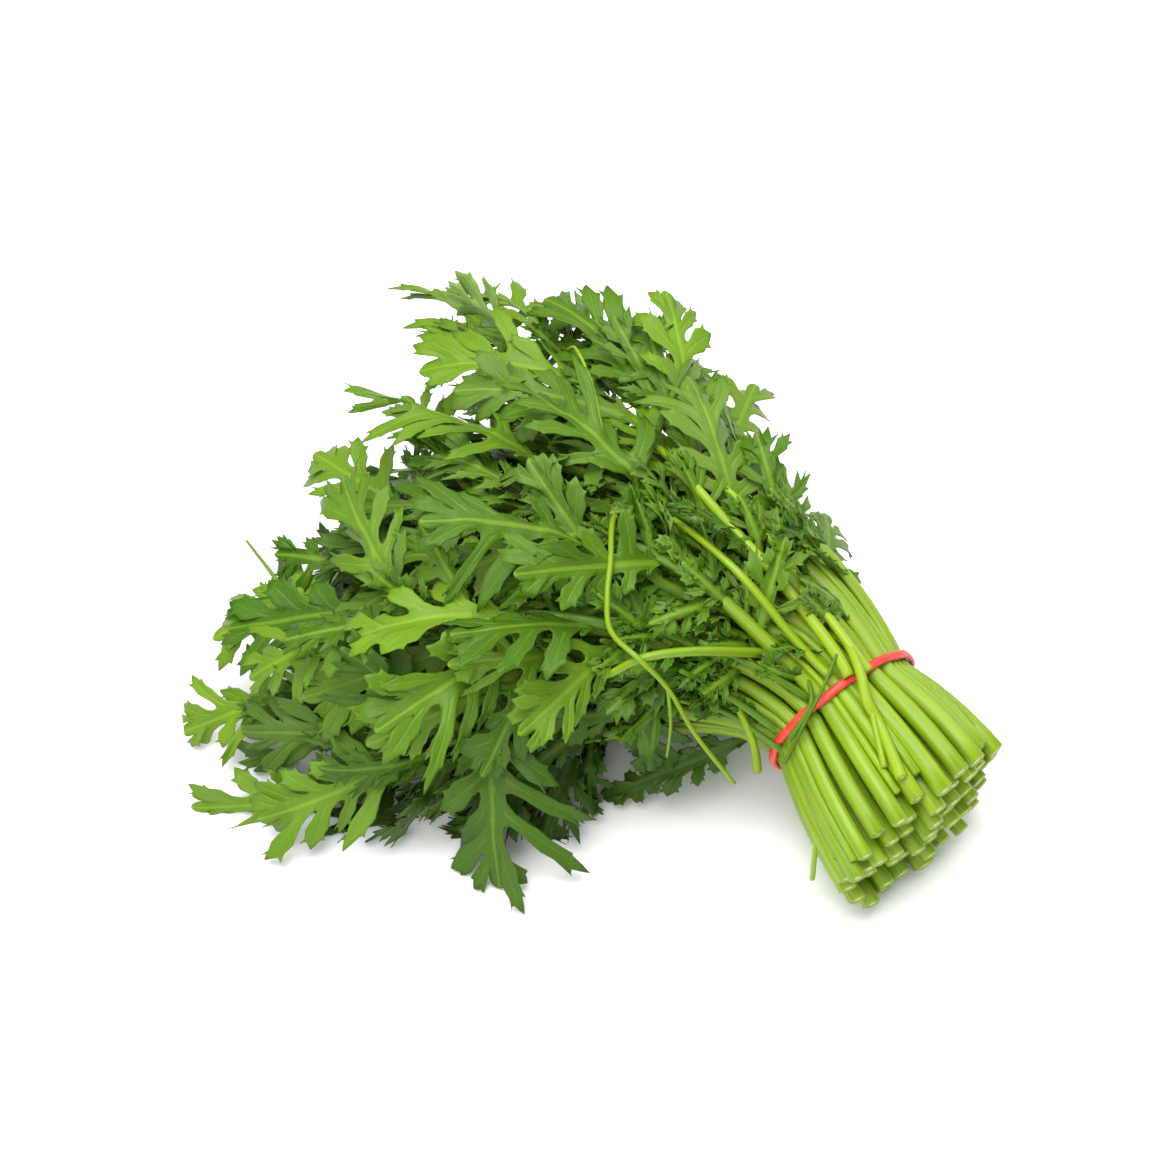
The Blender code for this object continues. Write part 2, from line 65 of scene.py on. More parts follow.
# The stems. Each is a juicy round stalk, pale and faintly ribbed, cut off square at the butt and
# greener towards its leaves. The band pinches them in rings at the waist; they flare a little
# behind it, and open into a fan in front. The model's stems grow by the same seeded rule.
SEED = 7
UP = Vector((0, 0, 1))

# The line that the stems take through the waist, and the rings that they stand in there: how many
# stems, how far out their centres lie, and how far each ring is turned, in stems
AXIS_BEARING = math.radians(126)
AXIS_RISE = math.radians(15)
RINGS = ((24, 0.0241), (17, 0.0180), (11, 0.0119), (5, 0.0058))
RING_TURN = 0.25
ODD_RING_TURN = 0.5
RIM_SLACK = 1.001
STEM_R = 0.0028
TIP_R = 0.0012
STEM_STATIONS = (0.0, 0.16, 0.40, 0.70, 1.0)
INNER_STATIONS = (0.0, 0.22, 0.60, 1.0)
TAPER_POWER = 1.2

# The butt below the band: straight at the band, then flared, and cut off shorter on top and at a side
STRAIGHT = 0.003
BUTT_LENGTH = 0.051
BUTT_FLARE_ACROSS = 0.46
BUTT_FLARE_UP = 0.12
BUTT_SWELL = 1.06
CUT_SHORT_TOP = 0.06
CUT_SHORT_SIDE = 0.18
CUT_UNEVEN = (-0.0035, 0.0025)

# A free stem: how far it runs on from the waist and into its end, and how much it opens out
LEAD = 0.36
LEAD_LOST = 0.16
FULL_SWING = 1.1
OPENING_OUT = 0.22
ARRIVAL = 0.34
STAGGER_TOP = (0.0, -0.34, -0.17)
STAGGER_LOW = (0.0, -0.15)
INNER_STAGGER_LOST = 0.5
TOP_LEVEL = 0.1
DROOP_LEVEL = -0.3
SWAY = 0.15
DROOP = math.radians(8)
DROOP_OUT = math.radians(30)
HANDLE_EASE = (0.0, 0.35, 1.0, 0.6)

# The fan of leaves: its bearings seen from above, how far it reaches, and how high it stands
FAN_MIDDLE = math.radians(151)
FAN_HALF = math.radians(45)
FAN_REACH = 0.211
FAN_ROUNDING = 0.42
LEAF_OVERHANG = 0.050
CROWN_START = 0.070
CROWN_RISE = 0.055
CROWN_ROUNDING = 0.8
CROWN_SIDE_DROP = 0.3
CROWN_DEPTH = 0.006
HEAP_FLOOR = 0.007

# Placing a stem: the room kept round it, how often it is drawn again, and how far it may be bent
STEM_ROOM = 0.0004
STEM_TRIES = 400
STEM_SLACK = 0.024
WELD = 1e-5

# Stems whose last leaf the photograph shows, (ring, index): (base, tip) of that leaf, in millimetres
SEEN_ENDS = {
    (0, 8): ((-17, -62, 90), (-50, -76, 80)),
    (0, 10): ((-35, -83, 68), (-90, -92, 48)),
    (0, 11): ((-30, -97, 55), (-28, -134, 3)),
    (0, 12): ((-58, -103, 30), (-106, -114, 12)),
    (0, 13): ((-86, -99, 8), (-130, -102, 2)),
    (0, 14): ((-97, -70, 28), (-136, -74, 8)),
    (1, 7): ((-86, -44, 55), (-124, -54, 34)),
    (0, 7): ((-62, -30, 70), (-92, 4, 62)),
    (0, 6): ((-45, -14, 74), (-62, 22, 72)),
    (0, 4): ((-28, 42, 72), (-58, 88, 62)),
    (0, 3): ((-10, 40, 76), (-34, 78, 70)),
    (0, 2): ((6, 24, 80), (-7, 68, 76)),
    (0, 1): ((34, -6, 80), (42, 38, 68)),
    (0, 0): ((46, 0, 62), (60, 46, 54)),
    (1, 3): ((36, -40, 88), (16, -6, 90)),
}


def level_direction(bearing, rise=0.0):
    """The direction with that bearing seen from above and that rise, both in radians."""
    level = math.cos(rise)
    return Vector((math.cos(bearing) * level, math.sin(bearing) * level, math.sin(rise)))


AXIS = level_direction(AXIS_BEARING, AXIS_RISE)
ACROSS = AXIS.cross(UP).normalized()
ABOVE = ACROSS.cross(AXIS)


def fan_reach(share):
    """How far the leaves reach from the waist, at a share of the fan from -1 to 1."""
    return FAN_REACH * (1 - FAN_ROUNDING * share**4)


def crown_height(share, out):
    """Height of the heap's top at a share of the fan, out being 0 at the waist and 1 at the edge."""
    rise = (CROWN_START + CROWN_RISE * out) * max(0.0, 1 - out**4) ** CROWN_ROUNDING
    return rise * (1 - CROWN_SIDE_DROP * abs(share) ** 3)


class Stem:
    """One stem's place in the bunch, and its centre line from the cut butt to the last leaf."""

    def __init__(self, ring, index, rng):
        count, radius = RINGS[ring]
        self.ring = ring
        self.index = index
        self.name = f"leafy_stem_{ring + 1}_{index + 1:02d}"
        angle = 2 * math.pi * (index + ODD_RING_TURN * (ring % 2) + RING_TURN) / count
        self.across = radius * math.cos(angle)
        self.above = radius * math.sin(angle)
        u = self.across / (RINGS[0][1] * RIM_SLACK)
        v = self.above / RINGS[0][1]
        self.share = 2 * math.asin(u) / math.pi
        self.level = max(-1.0, min(1.0, v / math.sqrt(1 - u * u)))
        kept = 1 - CUT_SHORT_TOP * v - CUT_SHORT_SIDE * max(0.0, u)
        self.cut = BUTT_LENGTH * kept + rng.uniform(*CUT_UNEVEN)
        self.shares = STEM_STATIONS if ring == 0 else INNER_STATIONS
        self.seen = SEEN_ENDS.get((ring, index))
        if self.seen:
            end = Vector(self.seen[0]) / 1000
            arrival = (Vector(self.seen[1]) - Vector(self.seen[0])).normalized()
        else:
            end, arrival = self.free_end(rng)
        start = self.waist_point(-STRAIGHT)
        length = (end - start).length
        swing = min(1.0, abs(FAN_MIDDLE - FAN_HALF * self.share - AXIS_BEARING) / FULL_SWING)
        outward = AXIS + (ACROSS * u + ABOVE * v) * OPENING_OUT
        self.drawn = (
            start,
            start + outward.normalized() * (LEAD - LEAD_LOST * swing) * length,
            end - arrival * (ARRIVAL * length),
            end,
        )
        self.handles = self.drawn

    def free_end(self, rng):
        """Where a stem ends that the photograph doesn't show, and its direction there."""
        bearing = FAN_MIDDLE - FAN_HALF * self.share
        reach = fan_reach(self.share)
        staggers = STAGGER_TOP if self.level > TOP_LEVEL else STAGGER_LOW
        stagger = staggers[self.index % len(staggers)]
        stagger *= 1 - INNER_STAGGER_LOST * self.ring / len(RINGS)
        out = (1 - LEAF_OVERHANG / reach) * (1 + stagger)
        top = crown_height(self.share, out) - CROWN_DEPTH
        height = HEAP_FLOOR + (top - HEAP_FLOOR) * (0.5 + 0.5 * self.level)
        end = level_direction(bearing) * (out * reach) + Vector((WAIST.x, WAIST.y, height))
        droop = DROOP + DROOP_OUT * out if self.level > DROOP_LEVEL else 0.0
        return end, level_direction(bearing + rng.uniform(-SWAY, SWAY), -droop)

    def bend_clear(self, rng, slack):
        """Moves the stem's middle, and its end if the photograph doesn't show it, a little."""
        moved = list(self.drawn)
        for n in (1, 2, 3):
            ease = 0.0 if n == 3 and self.seen else HANDLE_EASE[n]
            moved[n] = moved[n] + Vector([rng.uniform(-slack, slack) * ease for _ in range(3)])
            moved[n].z = max(moved[n].z, HEAP_FLOOR)
        self.handles = moved

    def waist_point(self, back):
        """A point of the straight bit at the band or of the flared butt, back metres behind it."""
        flare = max(0.0, back - STRAIGHT) / (BUTT_LENGTH - STRAIGHT)
        return (
            WAIST
            - AXIS * back
            + ACROSS * (self.across * (1 + BUTT_FLARE_ACROSS * flare))
            + ABOVE * (self.above * (1 + BUTT_FLARE_UP * flare))
        )

    def point(self, along):
        """A point of the free stem: along is 0 at the band and 1 at the stem's end."""
        a, b, c, d = self.handles
        rest = 1 - along
        return (
            a * rest**3
            + b * (3 * rest * rest * along)
            + c * (3 * rest * along * along)
            + d * along**3
        )

    def spot(self, along):
        """The middle of the tube there: the tube runs straight from station to station."""
        shares = self.shares
        for low, high in zip(shares, shares[1:]):
            if along <= high:
                break
        part = (along - low) / (high - low)
        return self.point(low).lerp(self.point(high), part)

    def tangent(self, along):
        step = 0.01
        return (self.point(min(1.0, along + step)) - self.point(along - step)).normalized()

    def radius(self, along):
        return STEM_R + (TIP_R - STEM_R) * max(0.0, along) ** TAPER_POWER

    def line(self):
        """(point, radius) along the stem, from its cut end, with few stations."""
        cut_end = (self.waist_point(self.cut), STEM_R * BUTT_SWELL)
        stations = [cut_end, (self.waist_point(STRAIGHT), STEM_R)]
        return stations + [(self.point(share), self.radius(share)) for share in self.shares]


def stem_tree(stem, swell):
    """A search tree of the bare stem, swollen for tests: a tube along its line with welded caps."""
    curve = bpy.data.curves.new(stem.name, "CURVE")
    curve.dimensions = "3D"
    curve.bevel_depth = 1.0
    curve.bevel_resolution = 1
    curve.use_fill_caps = True
    spline = curve.splines.new("POLY")
    stations = stem.line()
    spline.points.add(len(stations) - 1)
    for point, (place, radius) in zip(spline.points, stations):
        point.co = (*place, 1)
        point.radius = radius + swell
    guide = bpy.data.objects.new(stem.name + "_line", curve)
    bpy.context.collection.objects.link(guide)
    graph = bpy.context.evaluated_depsgraph_get()
    mesh = bpy.data.meshes.new_from_object(guide.evaluated_get(graph))
    bpy.data.objects.remove(guide)
    tube = bmesh.new()
    tube.from_mesh(mesh)
    bpy.data.meshes.remove(mesh)
    bmesh.ops.remove_doubles(tube, verts=tube.verts, dist=WELD)
    bmesh.ops.recalc_face_normals(tube, faces=tube.faces[:])
    bmesh.ops.triangulate(tube, faces=tube.faces[:])
    tree = BVHTree.FromBMesh(tube)
    tube.free()
    return tree


def standing_stems():
    """Every stem, each bent clear of those before it, and their search trees."""
    grown = [Stem(ring, i, growth) for ring, (count, _) in enumerate(RINGS) for i in range(count)]
    grown.sort(key=lambda stem: (not stem.seen, stem.ring))
    trees = []
    for stem in grown:
        for attempt in range(STEM_TRIES):
            stem.bend_clear(growth, STEM_SLACK * attempt / STEM_TRIES)
            tree = stem_tree(stem, STEM_ROOM)
            if not any(tree.overlap(other) for other in trees):
                break
        trees.append(stem_tree(stem, 0.0))
    return grown, trees


growth = random.Random(SEED)
stems, stem_trees = standing_stems()

# A stem's skin: its sides, ribs and rings, its cut end, and its greens from the butt upwards. The
# cut end is dished in two steps, each with its depth and its mark for the pith.
STEM_SIDES = 15
STEM_RIBS = 5
RIB_DEPTH = 0.05
STOUTNESS = (0.90, 1.10)
FREE_STATIONS = 16
BUTT_STATIONS = 5
BUTT_BULGE = 0.0016
SKIN_WELD = 1e-6
CUT_EDGE = 0.00045
CUT_STEP = 0.28
CUT_DISHES = ((-0.0002, 1.0), (-0.0001, 2.0))
STREAK_STRETCH = 12.0
STREAK_SHIFT = 9
STEM_PALE = (0.28, 0.41, 0.008)
STEM_MID = (0.125, 0.235, 0.004)
STEM_GREEN = (0.065, 0.155, 0.004)
CUT_RIM = (0.16, 0.25, 0.03)
CUT_PITH = (0.42, 0.52, 0.09)
MOTTLE = 60.0
STREAKS = 2.6
GREEN_FROM = (0.06, 0.12)
TINT_SEED = 5
TINTS = (0.25, 0.5)
SIDE_TINT = 0.25
INSIDE = 0.0006


def kept_in_box(place):
    """A place, held a hair inside the model's box."""
    limits = zip(place, model_low, model_high)
    return Vector([max(low + INSIDE, min(high - INSIDE, v)) for v, low, high in limits])


class Socket:
    """One value, colour or vector in a finish's nodes. Arithmetic on it adds Math nodes."""

    def __init__(self, finish, socket):
        self.finish = finish
        self.socket = socket

    def math(self, operation, *others):
        values = dict(enumerate((self, *others)))
        return self.finish.node("ShaderNodeMath", {"operation": operation}, values)

    def __add__(self, other):
        return self.math("ADD", other)

    def __mul__(self, other):
        return self.math("MULTIPLY", other)

    def __sub__(self, other):
        return self.math("SUBTRACT", other)

    def __rsub__(self, other):
        return self.finish.node("ShaderNodeMath", {"operation": "SUBTRACT"}, {0: other, 1: self})

    def __truediv__(self, other):
        return self.math("DIVIDE", other)

    def __rtruediv__(self, other):
        return self.finish.node("ShaderNodeMath", {"operation": "DIVIDE"}, {0: other, 1: self})

    __radd__ = __add__
    __rmul__ = __mul__

    def ramp(self, low, high, start=0.0, end=1.0):
        """A smooth step: start below low, and end above high."""
        ends = {1: low, 2: high, 3: start, 4: end}
        settings = {"interpolation_type": "SMOOTHSTEP"}
        return self.finish.node("ShaderNodeMapRange", settings, {0: self, **ends})


class Finish:
    """One material, and the way that its nodes are added."""

    def __init__(self, name, roughness, **surface):
        self.material = bpy.data.materials.new(name)
        self.material.use_nodes = True
        self.tree = self.material.node_tree
        self.surface = self.tree.nodes["Principled BSDF"]
        for key, value in {"Roughness": roughness, **surface}.items():
            self.surface.inputs[key.replace("_", " ")].default_value = value

    def node(self, kind, settings, values, out=0):
        """A new node with its settings first, then its sockets' values or links."""
        made = self.tree.nodes.new(kind)
        for key, value in settings.items():
            setattr(made, key, value)
        for key, value in values.items():
            if isinstance(value, Socket):
                self.tree.links.new(value.socket, made.inputs[key])
            else:
                made.inputs[key].default_value = value
        return Socket(self, made.outputs[out])

    def attribute(self, name):
        """One of the piece's own attributes, as a vector."""
        settings = {"attribute_type": "GEOMETRY", "attribute_name": name}
        return self.node("ShaderNodeAttribute", settings, {}, "Vector")

    def read(self, name):
        """The three numbers of one of the piece's own attributes."""
        vector = self.attribute(name)
        return [self.node("ShaderNodeSeparateXYZ", {}, {0: vector}, n) for n in range(3)]

    def noise(self, scale, detail=3.0, name=""):
        """A cloudy number over the piece's places, or over the named attribute."""
        place = self.attribute(name) if name else self.node("ShaderNodeTexCoord", {}, {}, "Object")
        return self.node("ShaderNodeTexNoise", {}, {"Vector": place, "Scale": scale, "Detail": detail})

    def mix(self, share, first, second):
        """The first colour where share is 0, the second where it is 1: the Mix node's sockets 6 and 7."""
        first, second = [c if isinstance(c, Socket) else (*c, 1) for c in (first, second)]
        values = {0: share, 6: first, 7: second}
        return self.node("ShaderNodeMix", {"data_type": "RGBA"}, values, 2)

    def paint(self, **sockets):
        for key, value in sockets.items():
            self.tree.links.new(value.socket, self.surface.inputs[key.replace("_", " ")])

    def bump(self, height, depth, strength):
        values = {"Height": height, "Distance": depth, "Strength": strength}
        self.paint(Normal=self.node("ShaderNodeBump", {}, values))


def stem_finish():
    """Pale at the butt and greener up the stem, streaked along it, with a pithy cut end."""
    soft = {"Subsurface_Weight": 0.2, "Subsurface_Scale": 0.002, "Specular_IOR_Level": 0.35}
    finish = Finish("stem_skin", 0.42, **soft)
    along, cut, tint = finish.read("stem_place")
    mottle = finish.noise(MOTTLE)
    streak = finish.noise(STREAKS, 2.0, "stem_round")
    # Each stem has its own tint, with darker streaks, greens up the stem, and paler streaks on top
    green = finish.mix(tint * 0.6 + mottle * 0.4, STEM_PALE, STEM_MID)
    green = finish.mix(streak.ramp(0.44, 0.68) * 0.6, green, STEM_MID)
    greener = along.ramp(*GREEN_FROM) * (tint * 0.6 + 0.5).math("MINIMUM", 1.0)
    green = finish.mix(greener, green, STEM_GREEN)
    green = finish.mix((0.5 - streak).ramp(0.0, 0.16) * 0.25, green, STEM_PALE)
    # The cut is marked 0 on the skin, 1 on its rim and 2 on the pith
    pith = finish.mix(cut.ramp(1.2, 1.75), CUT_RIM, CUT_PITH)
    finish.paint(Base_Color=finish.mix(cut.ramp(0.5, 1.0), green, pith))
    finish.bump(streak, 0.0004, 0.35)
    return finish.material


def butt_rings(cut, outward, middle_at, swell):
    """(middle, radius, metres along) of the rings from a cut end to the band, bulged outward."""
    rings = []
    for k in range(BUTT_STATIONS + 1):
        back = cut + (STRAIGHT - cut) * k / BUTT_STATIONS
        bulge = outward * (BUTT_BULGE * math.sin(math.pi * k / BUTT_STATIONS))
        rings.append((middle_at(back) + bulge, 1 + (swell - 1) * back / cut, cut - back))
    return rings


def stem_rings(stem):
    """The rings of a stem's skin, from its cut end."""
    outward = (ACROSS * stem.across + ABOVE * stem.above) / RINGS[0][1]
    butt = butt_rings(stem.cut, outward, stem.waist_point, BUTT_SWELL)
    rings = [(middle, STEM_R * swell, along) for middle, swell, along in butt]
    rings.insert(0, (stem.waist_point(stem.cut), STEM_R * BUTT_SWELL - CUT_EDGE, 0.0))
    rings[1] = (stem.waist_point(stem.cut - CUT_EDGE), rings[1][1], CUT_EDGE)
    length = (stem.point(1.0) - stem.point(0.0)).length
    for k in range(FREE_STATIONS + 1):
        share = k / FREE_STATIONS
        rings.append((stem.point(share), stem.radius(share), stem.cut + share * length))
    return rings


def stem_skin(rings, tint, sides, view):
    """A stem's skin: a sheet rolled round its rings, its ends closed and its cut end inset."""
    skin = bmesh.new()
    mark = skin.verts.layers.float_vector.new("stem_place")
    round_mark = skin.verts.layers.float_vector.new("stem_round")
    bmesh.ops.create_grid(skin, x_segments=sides, y_segments=len(rings) - 1, size=1)
    ahead = [b[0] - a[0] for a, b in zip(rings, rings[1:])]
    ahead = [ahead[0]] + [(a + b) for a, b in zip(ahead, ahead[1:])] + [ahead[-1]]
    for vert in skin.verts:
        n = round((vert.co.y + 1) / 2 * (len(rings) - 1))
        angle = math.pi * (vert.co.x + 1)
        middle, radius, along = rings[n]
        side = ahead[n].cross(view).normalized()
        front = side.cross(ahead[n]).normalized()
        radius *= 1 + RIB_DEPTH * math.cos(STEM_RIBS * angle)
        place = middle + (side * math.cos(angle) + front * math.sin(angle)) * radius
        vert.co = kept_in_box(place + HOME)
        vert[mark] = (along, 0.0, tint)
        shift = tint * STREAK_SHIFT
        vert[round_mark] = (math.cos(angle) + shift, math.sin(angle), along * STREAK_STRETCH)
    bmesh.ops.remove_doubles(skin, verts=skin.verts[:], dist=SKIN_WELD)
    ends = bmesh.ops.holes_fill(skin, edges=skin.edges[:], sides=0)["faces"]
    bmesh.ops.recalc_face_normals(skin, faces=skin.faces[:])
    butt = min(ends, key=lambda face: (face.calc_center_median() - rings[0][0] - HOME).length)
    for depth, mark_cut in CUT_DISHES:
        bmesh.ops.inset_region(skin, faces=[butt], thickness=rings[1][1] * CUT_STEP, depth=depth)
        for vert in butt.verts:
            vert[mark] = (0.0, mark_cut, tint)
    bmesh.ops.poke(skin, faces=[butt])
    return skin


def shown(name, work, materials, nodes):
    """A finished mesh as a piece of the bunch, in place of its nodes in the model."""
    mesh = bpy.data.meshes.new(name)
    work.to_mesh(mesh)
    work.free()
    mesh.shade_smooth()
    for material in materials:
        mesh.materials.append(material)
    piece = bpy.data.objects.new(name, mesh)
    bpy.context.scene.collection.objects.link(piece)
    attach(piece, "root")
    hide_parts(*nodes)
    return piece


stem_green = stem_finish()
tints = random.Random(TINT_SEED)
for stem in stems:
    stout = tints.uniform(*STOUTNESS)
    rings = [(middle, radius * stout, along) for middle, radius, along in stem_rings(stem)]
    tint = tints.random() * TINTS[1] + TINTS[0] - SIDE_TINT * stem.share
    name = stem.name.replace("leafy_", "")
    shown(name, stem_skin(rings, tint, STEM_SIDES, ABOVE), [stem_green], [stem.name])

# Slim stalks. Thin green leaf stalks lie in the grooves between the outer stems, held by the same
# band, and run on into the leaves. They are cut at the butt with the rest.
SLIM_SIDES = 8
SLIM_R = (0.0012, 0.0019)
SLIM_END_R = 0.0006
SLIM_GROOVES = 17
SLIM_CUT = (-0.012, 0.001)
SLIM_RUN = (0.3, 0.6)
SLIM_STATIONS = 9
SLIM_PROUD = 0.0003
SLIM_TINTS = (0.2, 0.9)


def slim_rings(first, second):
    """Rings of a slim stalk that lies in the groove between two neighbouring stems."""
    cut = min(first.cut, second.cut) + tints.uniform(*SLIM_CUT)
    radius = tints.uniform(*SLIM_R)
    run = tints.uniform(*SLIM_RUN)
    across, above = first.across + second.across, first.above + second.above
    lift = (ACROSS * across + ABOVE * above).normalized() * (STEM_R - radius + SLIM_PROUD)
    length = (first.point(run) - first.point(0.0)).length

    def groove(back):
        return first.waist_point(back).lerp(second.waist_point(back), 0.5) + lift

    butt = butt_rings(cut, lift.normalized(), groove, 1)
    rings = [(middle, radius, along) for middle, _, along in butt]
    rings.insert(0, (rings[0][0] - AXIS * CUT_EDGE, radius - CUT_EDGE, 0.0))
    for k in range(SLIM_STATIONS + 1):
        share = k / SLIM_STATIONS
        middle = first.point(share * run).lerp(second.point(share * run), 0.5)
        thin = radius + (SLIM_END_R - radius) * share
        rings.append((middle + lift * (1 + share), thin, cut + share * length))
    return rings


outer = [stem for stem in stems if stem.ring == 0]
for n in range(SLIM_GROOVES):
    rings = slim_rings(outer[n], outer[n + 1])
    skin = stem_skin(rings, tints.uniform(*SLIM_TINTS), SLIM_SIDES, ABOVE)
    shown(f"slim_stalk_{n + 1:02d}", skin, [stem_green], [])

# Loose stalks. A few juicy bare stalks and ribs lie over the rest, caught among it: pale bent ones
# out of the leaves, a forked one cut off at the butt, and thin ones across the band's near end.
LOOSE_VIEW = Vector((0.1, -0.66, 0.74))
LOOSE_STATIONS = 5
LOOSE_EDGE = 0.3
LOOSE_BEVEL = 0.1
LOOSE_GREEN = (0.04, 0.1)

# Each one's name, its radius at both ends, its tint, and its places, in millimetres
LOOSE = (
    ("bent_rib", 0.7, 1.1, 0.4, (
        (48, -122, 40), (35, -118, 60), (26, -115, 79), (17, -115, 93), (8, -104, 94),
        (7, -90, 95), (8, -80, 99), (9, -62, 100), (13, -47, 84),
    )),
    ("bent_twig", 0.4, 0.7, 0.5, ((26, -119, 50), (27, -119, 66), (26, -115, 78))),
    ("blunt_stalk", 1.7, 1.2, 0.45, ((56, -95, 73), (36, -108, 89), (19, -113, 92), (8, -113, 84))),
    ("curved_stalk", 1.0, 0.4, 0.6, ((-95, -55, 49), (-102, -46, 51), (-109, -37, 54), (-114, -32, 58))),
    ("broad_stalk", 1.5, 1.1, 0.9, (
        (11, -76, 96), (13, -67, 104), (18, -42, 101), (25, -17, 99), (34, 11, 98), (37, 20, 90),
    )),
    ("long_stalk_1", 2.2, 1.1, 0.1, (
        (84, -103, 71), (78, -94, 76), (62, -75, 86), (48, -58, 91), (38, -48, 97), (29, -33, 97),
        (21, -18, 91), (15, -8, 84),
    )),
    ("long_stalk_2", 1.7, 0.8, 0.3, (
        (78, -101, 69), (68, -94, 76), (51, -83, 94), (37, -68, 97), (23, -53, 95), (13, -42, 86),
    )),
    ("long_stalk_3", 1.9, 0.9, 0.0, (
        (90, -101, 71), (84, -93, 75), (66, -65, 82), (53, -50, 91), (44, -42, 95), (36, -32, 87),
    )),
    ("forked_stalk", 2.0, 1.5, 0.1, (
        (99, -137, 62), (93, -118, 65), (89, -112, 70), (87, -103, 74), (83, -91, 74), (76, -80, 67),
    )),
    ("forked_stalk_branch", 1.2, 1.0, 0.2, ((94, -132, 61), (92, -122, 65), (90, -111, 69))),
    ("yellow_stalk", 1.0, 0.9, -0.5, ((74, -136, 8), (74, -137, 28), (76, -133, 36))),
    ("thin_stalk_1", 0.7, 0.5, 0.9, ((64, -117, 44), (70, -114, 62), (75, -108, 70), (80, -98, 76))),
    ("thin_stalk_2", 1.0, 0.7, 0.9, ((65, -116, 55), (72, -109, 66), (69, -93, 67))),
    ("flat_stalk", 1.6, 1.1, 0.3, ((56, -111, 33), (54, -109, 46), (48, -102, 58))),
    ("top_stalk", 0.7, 0.5, 0.0, (
        (7, -32, 99), (5, -25, 106), (2, -1, 102), (-3, 19, 98), (-6, 27, 90),
    )),
    ("bare_stalk_1", 1.2, 0.8, 0.9, ((61, -110, 53), (43, -103, 64), (30, -103, 74))),
    ("bare_stalk_2", 1.1, 0.8, 0.9, ((63, -113, 46), (47, -104, 53), (34, -102, 58))),
    ("bare_stalk_3", 1.3, 0.9, 0.8, ((72, -105, 62), (56, -101, 72), (36, -96, 80))),
)


def smooth_run(points):
    """Points along a smooth curve that passes through the given ones."""
    run = [points[0]]
    ends = [points[0]] + points + [points[-1]]
    for a, b, c, d in zip(ends, ends[1:], ends[2:], ends[3:]):
        for k in range(1, LOOSE_STATIONS + 1):
            t = k / LOOSE_STATIONS
            bend = (2 * a - 5 * b + 4 * c - d) * t * t + (3 * b - a - 3 * c + d) * t**3
            run.append((2 * b + (c - a) * t + bend) / 2)
    return run


for name, wide, narrow, tint, places in LOOSE:
    run = smooth_run([Vector(place) / 1000 for place in places])
    steps = len(run) - 1
    green = LOOSE_GREEN[0] + LOOSE_GREEN[1] * tint
    radii = [(wide + (narrow - wide) * k / steps) / 1000 for k in range(steps + 1)]
    rings = [(place, radius, green) for place, radius in zip(run, radii)]
    rings[0] = (run[0].lerp(run[1], LOOSE_BEVEL), radii[0], green)
    rings.insert(0, (run[0], (wide - LOOSE_EDGE) / 1000, 0.0))
    shown(name, stem_skin(rings, tint, SLIM_SIDES, LOOSE_VIEW), [stem_green], [])

# The leaves. A leaf grows out of its stem: one thin soft blade along a pale rib, cut almost to it
# into pairs of lobes with blunt teeth, satin mid green above and paler and duller below. As in the
# model, a leaf is drawn again until its plain blade, with three pairs of lobes, has room.
LEAF_THICK = 0.0007
LEAF_BASE_HALF = 0.0008
RACHIS_HALF = 0.0024
LOBE_PAIRS = 3
FIRST_LOBE = 0.22
LOBES_RUN = 0.46
LOBE_LEAN = math.radians(62)
LEAN_LOST = math.radians(20)
LEAN_UNEVEN = math.radians(5)
LOBE_UNEVEN = (0.85, 1.0)
BELLY = (0.72, 0.5)
BELLY_SPAN = (0.2, 0.6)
LOBE_HALF = 0.062
TOOTH_HALF = 0.8
BACK_TOOTH = 0.84
FRONT_TOOTH = 1.04
SINUS_STEP = 0.125
CREST_FROM = 0.93
CREST_HALF = 0.26
FORMS = 6
LEAF_LENGTHS = (0.050, 0.070)
LEAF_WIDTHS = (0.54, 0.66)
BENDS = (0.2, 1.1)
FOLDS = (0.0, 0.3)
TWIST = 0.5
ARCH = 9.0
WAVE = 0.10
WAVE_TURNS = 9
FACE_TURN = 0.7
WAVE_SHIFT = 2.1
SEEN_WIDTH = 0.62
SEEN_BENDS = (0.25, 0.6)
SEEN_FOLDS = (0.0, 0.2)
SEEN_TURN = 0.2

# Where leaves leave a stem, as shares of its free length, and the leaf at its end
LAST_SITE = 0.985
SITES_TOP = ((1.0, 0.82, 0.64), (1.0, 0.84, 0.70, 0.56))
SITES_TOP_RIGHT = (1.0, 0.80, 0.62)
SITES_FEW = (1.0, 0.80)
SITE_SHIFT = 0.07
LAST_OPENING = 0.3
LAST_OPENING_MORE = 0.7
SIDE_OPENING = (0.35, 0.75)
SIDE_OPENING_ASIDE = 0.4
LAST_AROUND = 2.0
SIDE_AROUND = 1.5
FULL_SHARE = 0.2
FEW_SHARE = -0.2
INNER_LEVEL = 0.3
INNER_SHARE = 0.3
OTHER_LEAST = 0.5
OTHER_STRAIGHTEST = 0.2

# Placing: room kept between pieces, and how often a leaf is drawn again
GAP = 0.0005
LEAF_ROOM = 0.0008
LEAF_TRIES = 120
SEEN_SLACK = 0.012
SEEN_TURN_MORE = 0.05
SEEN_BEND_MORE = 0.8
OWN_REACH = 0.010
STEM_SAMPLES = 40
BALL = 0.75
HEAP_TOP = 0.112
FLOOR_Z = 0.0006

# The heap's spine, which leaves face away from: its height, how far it runs, and their lift
SPINE_Z = 0.025
SPINE_RUN = (0.02, 0.15)
LIFT_LEAST = 0.012
LIFT = 1.4

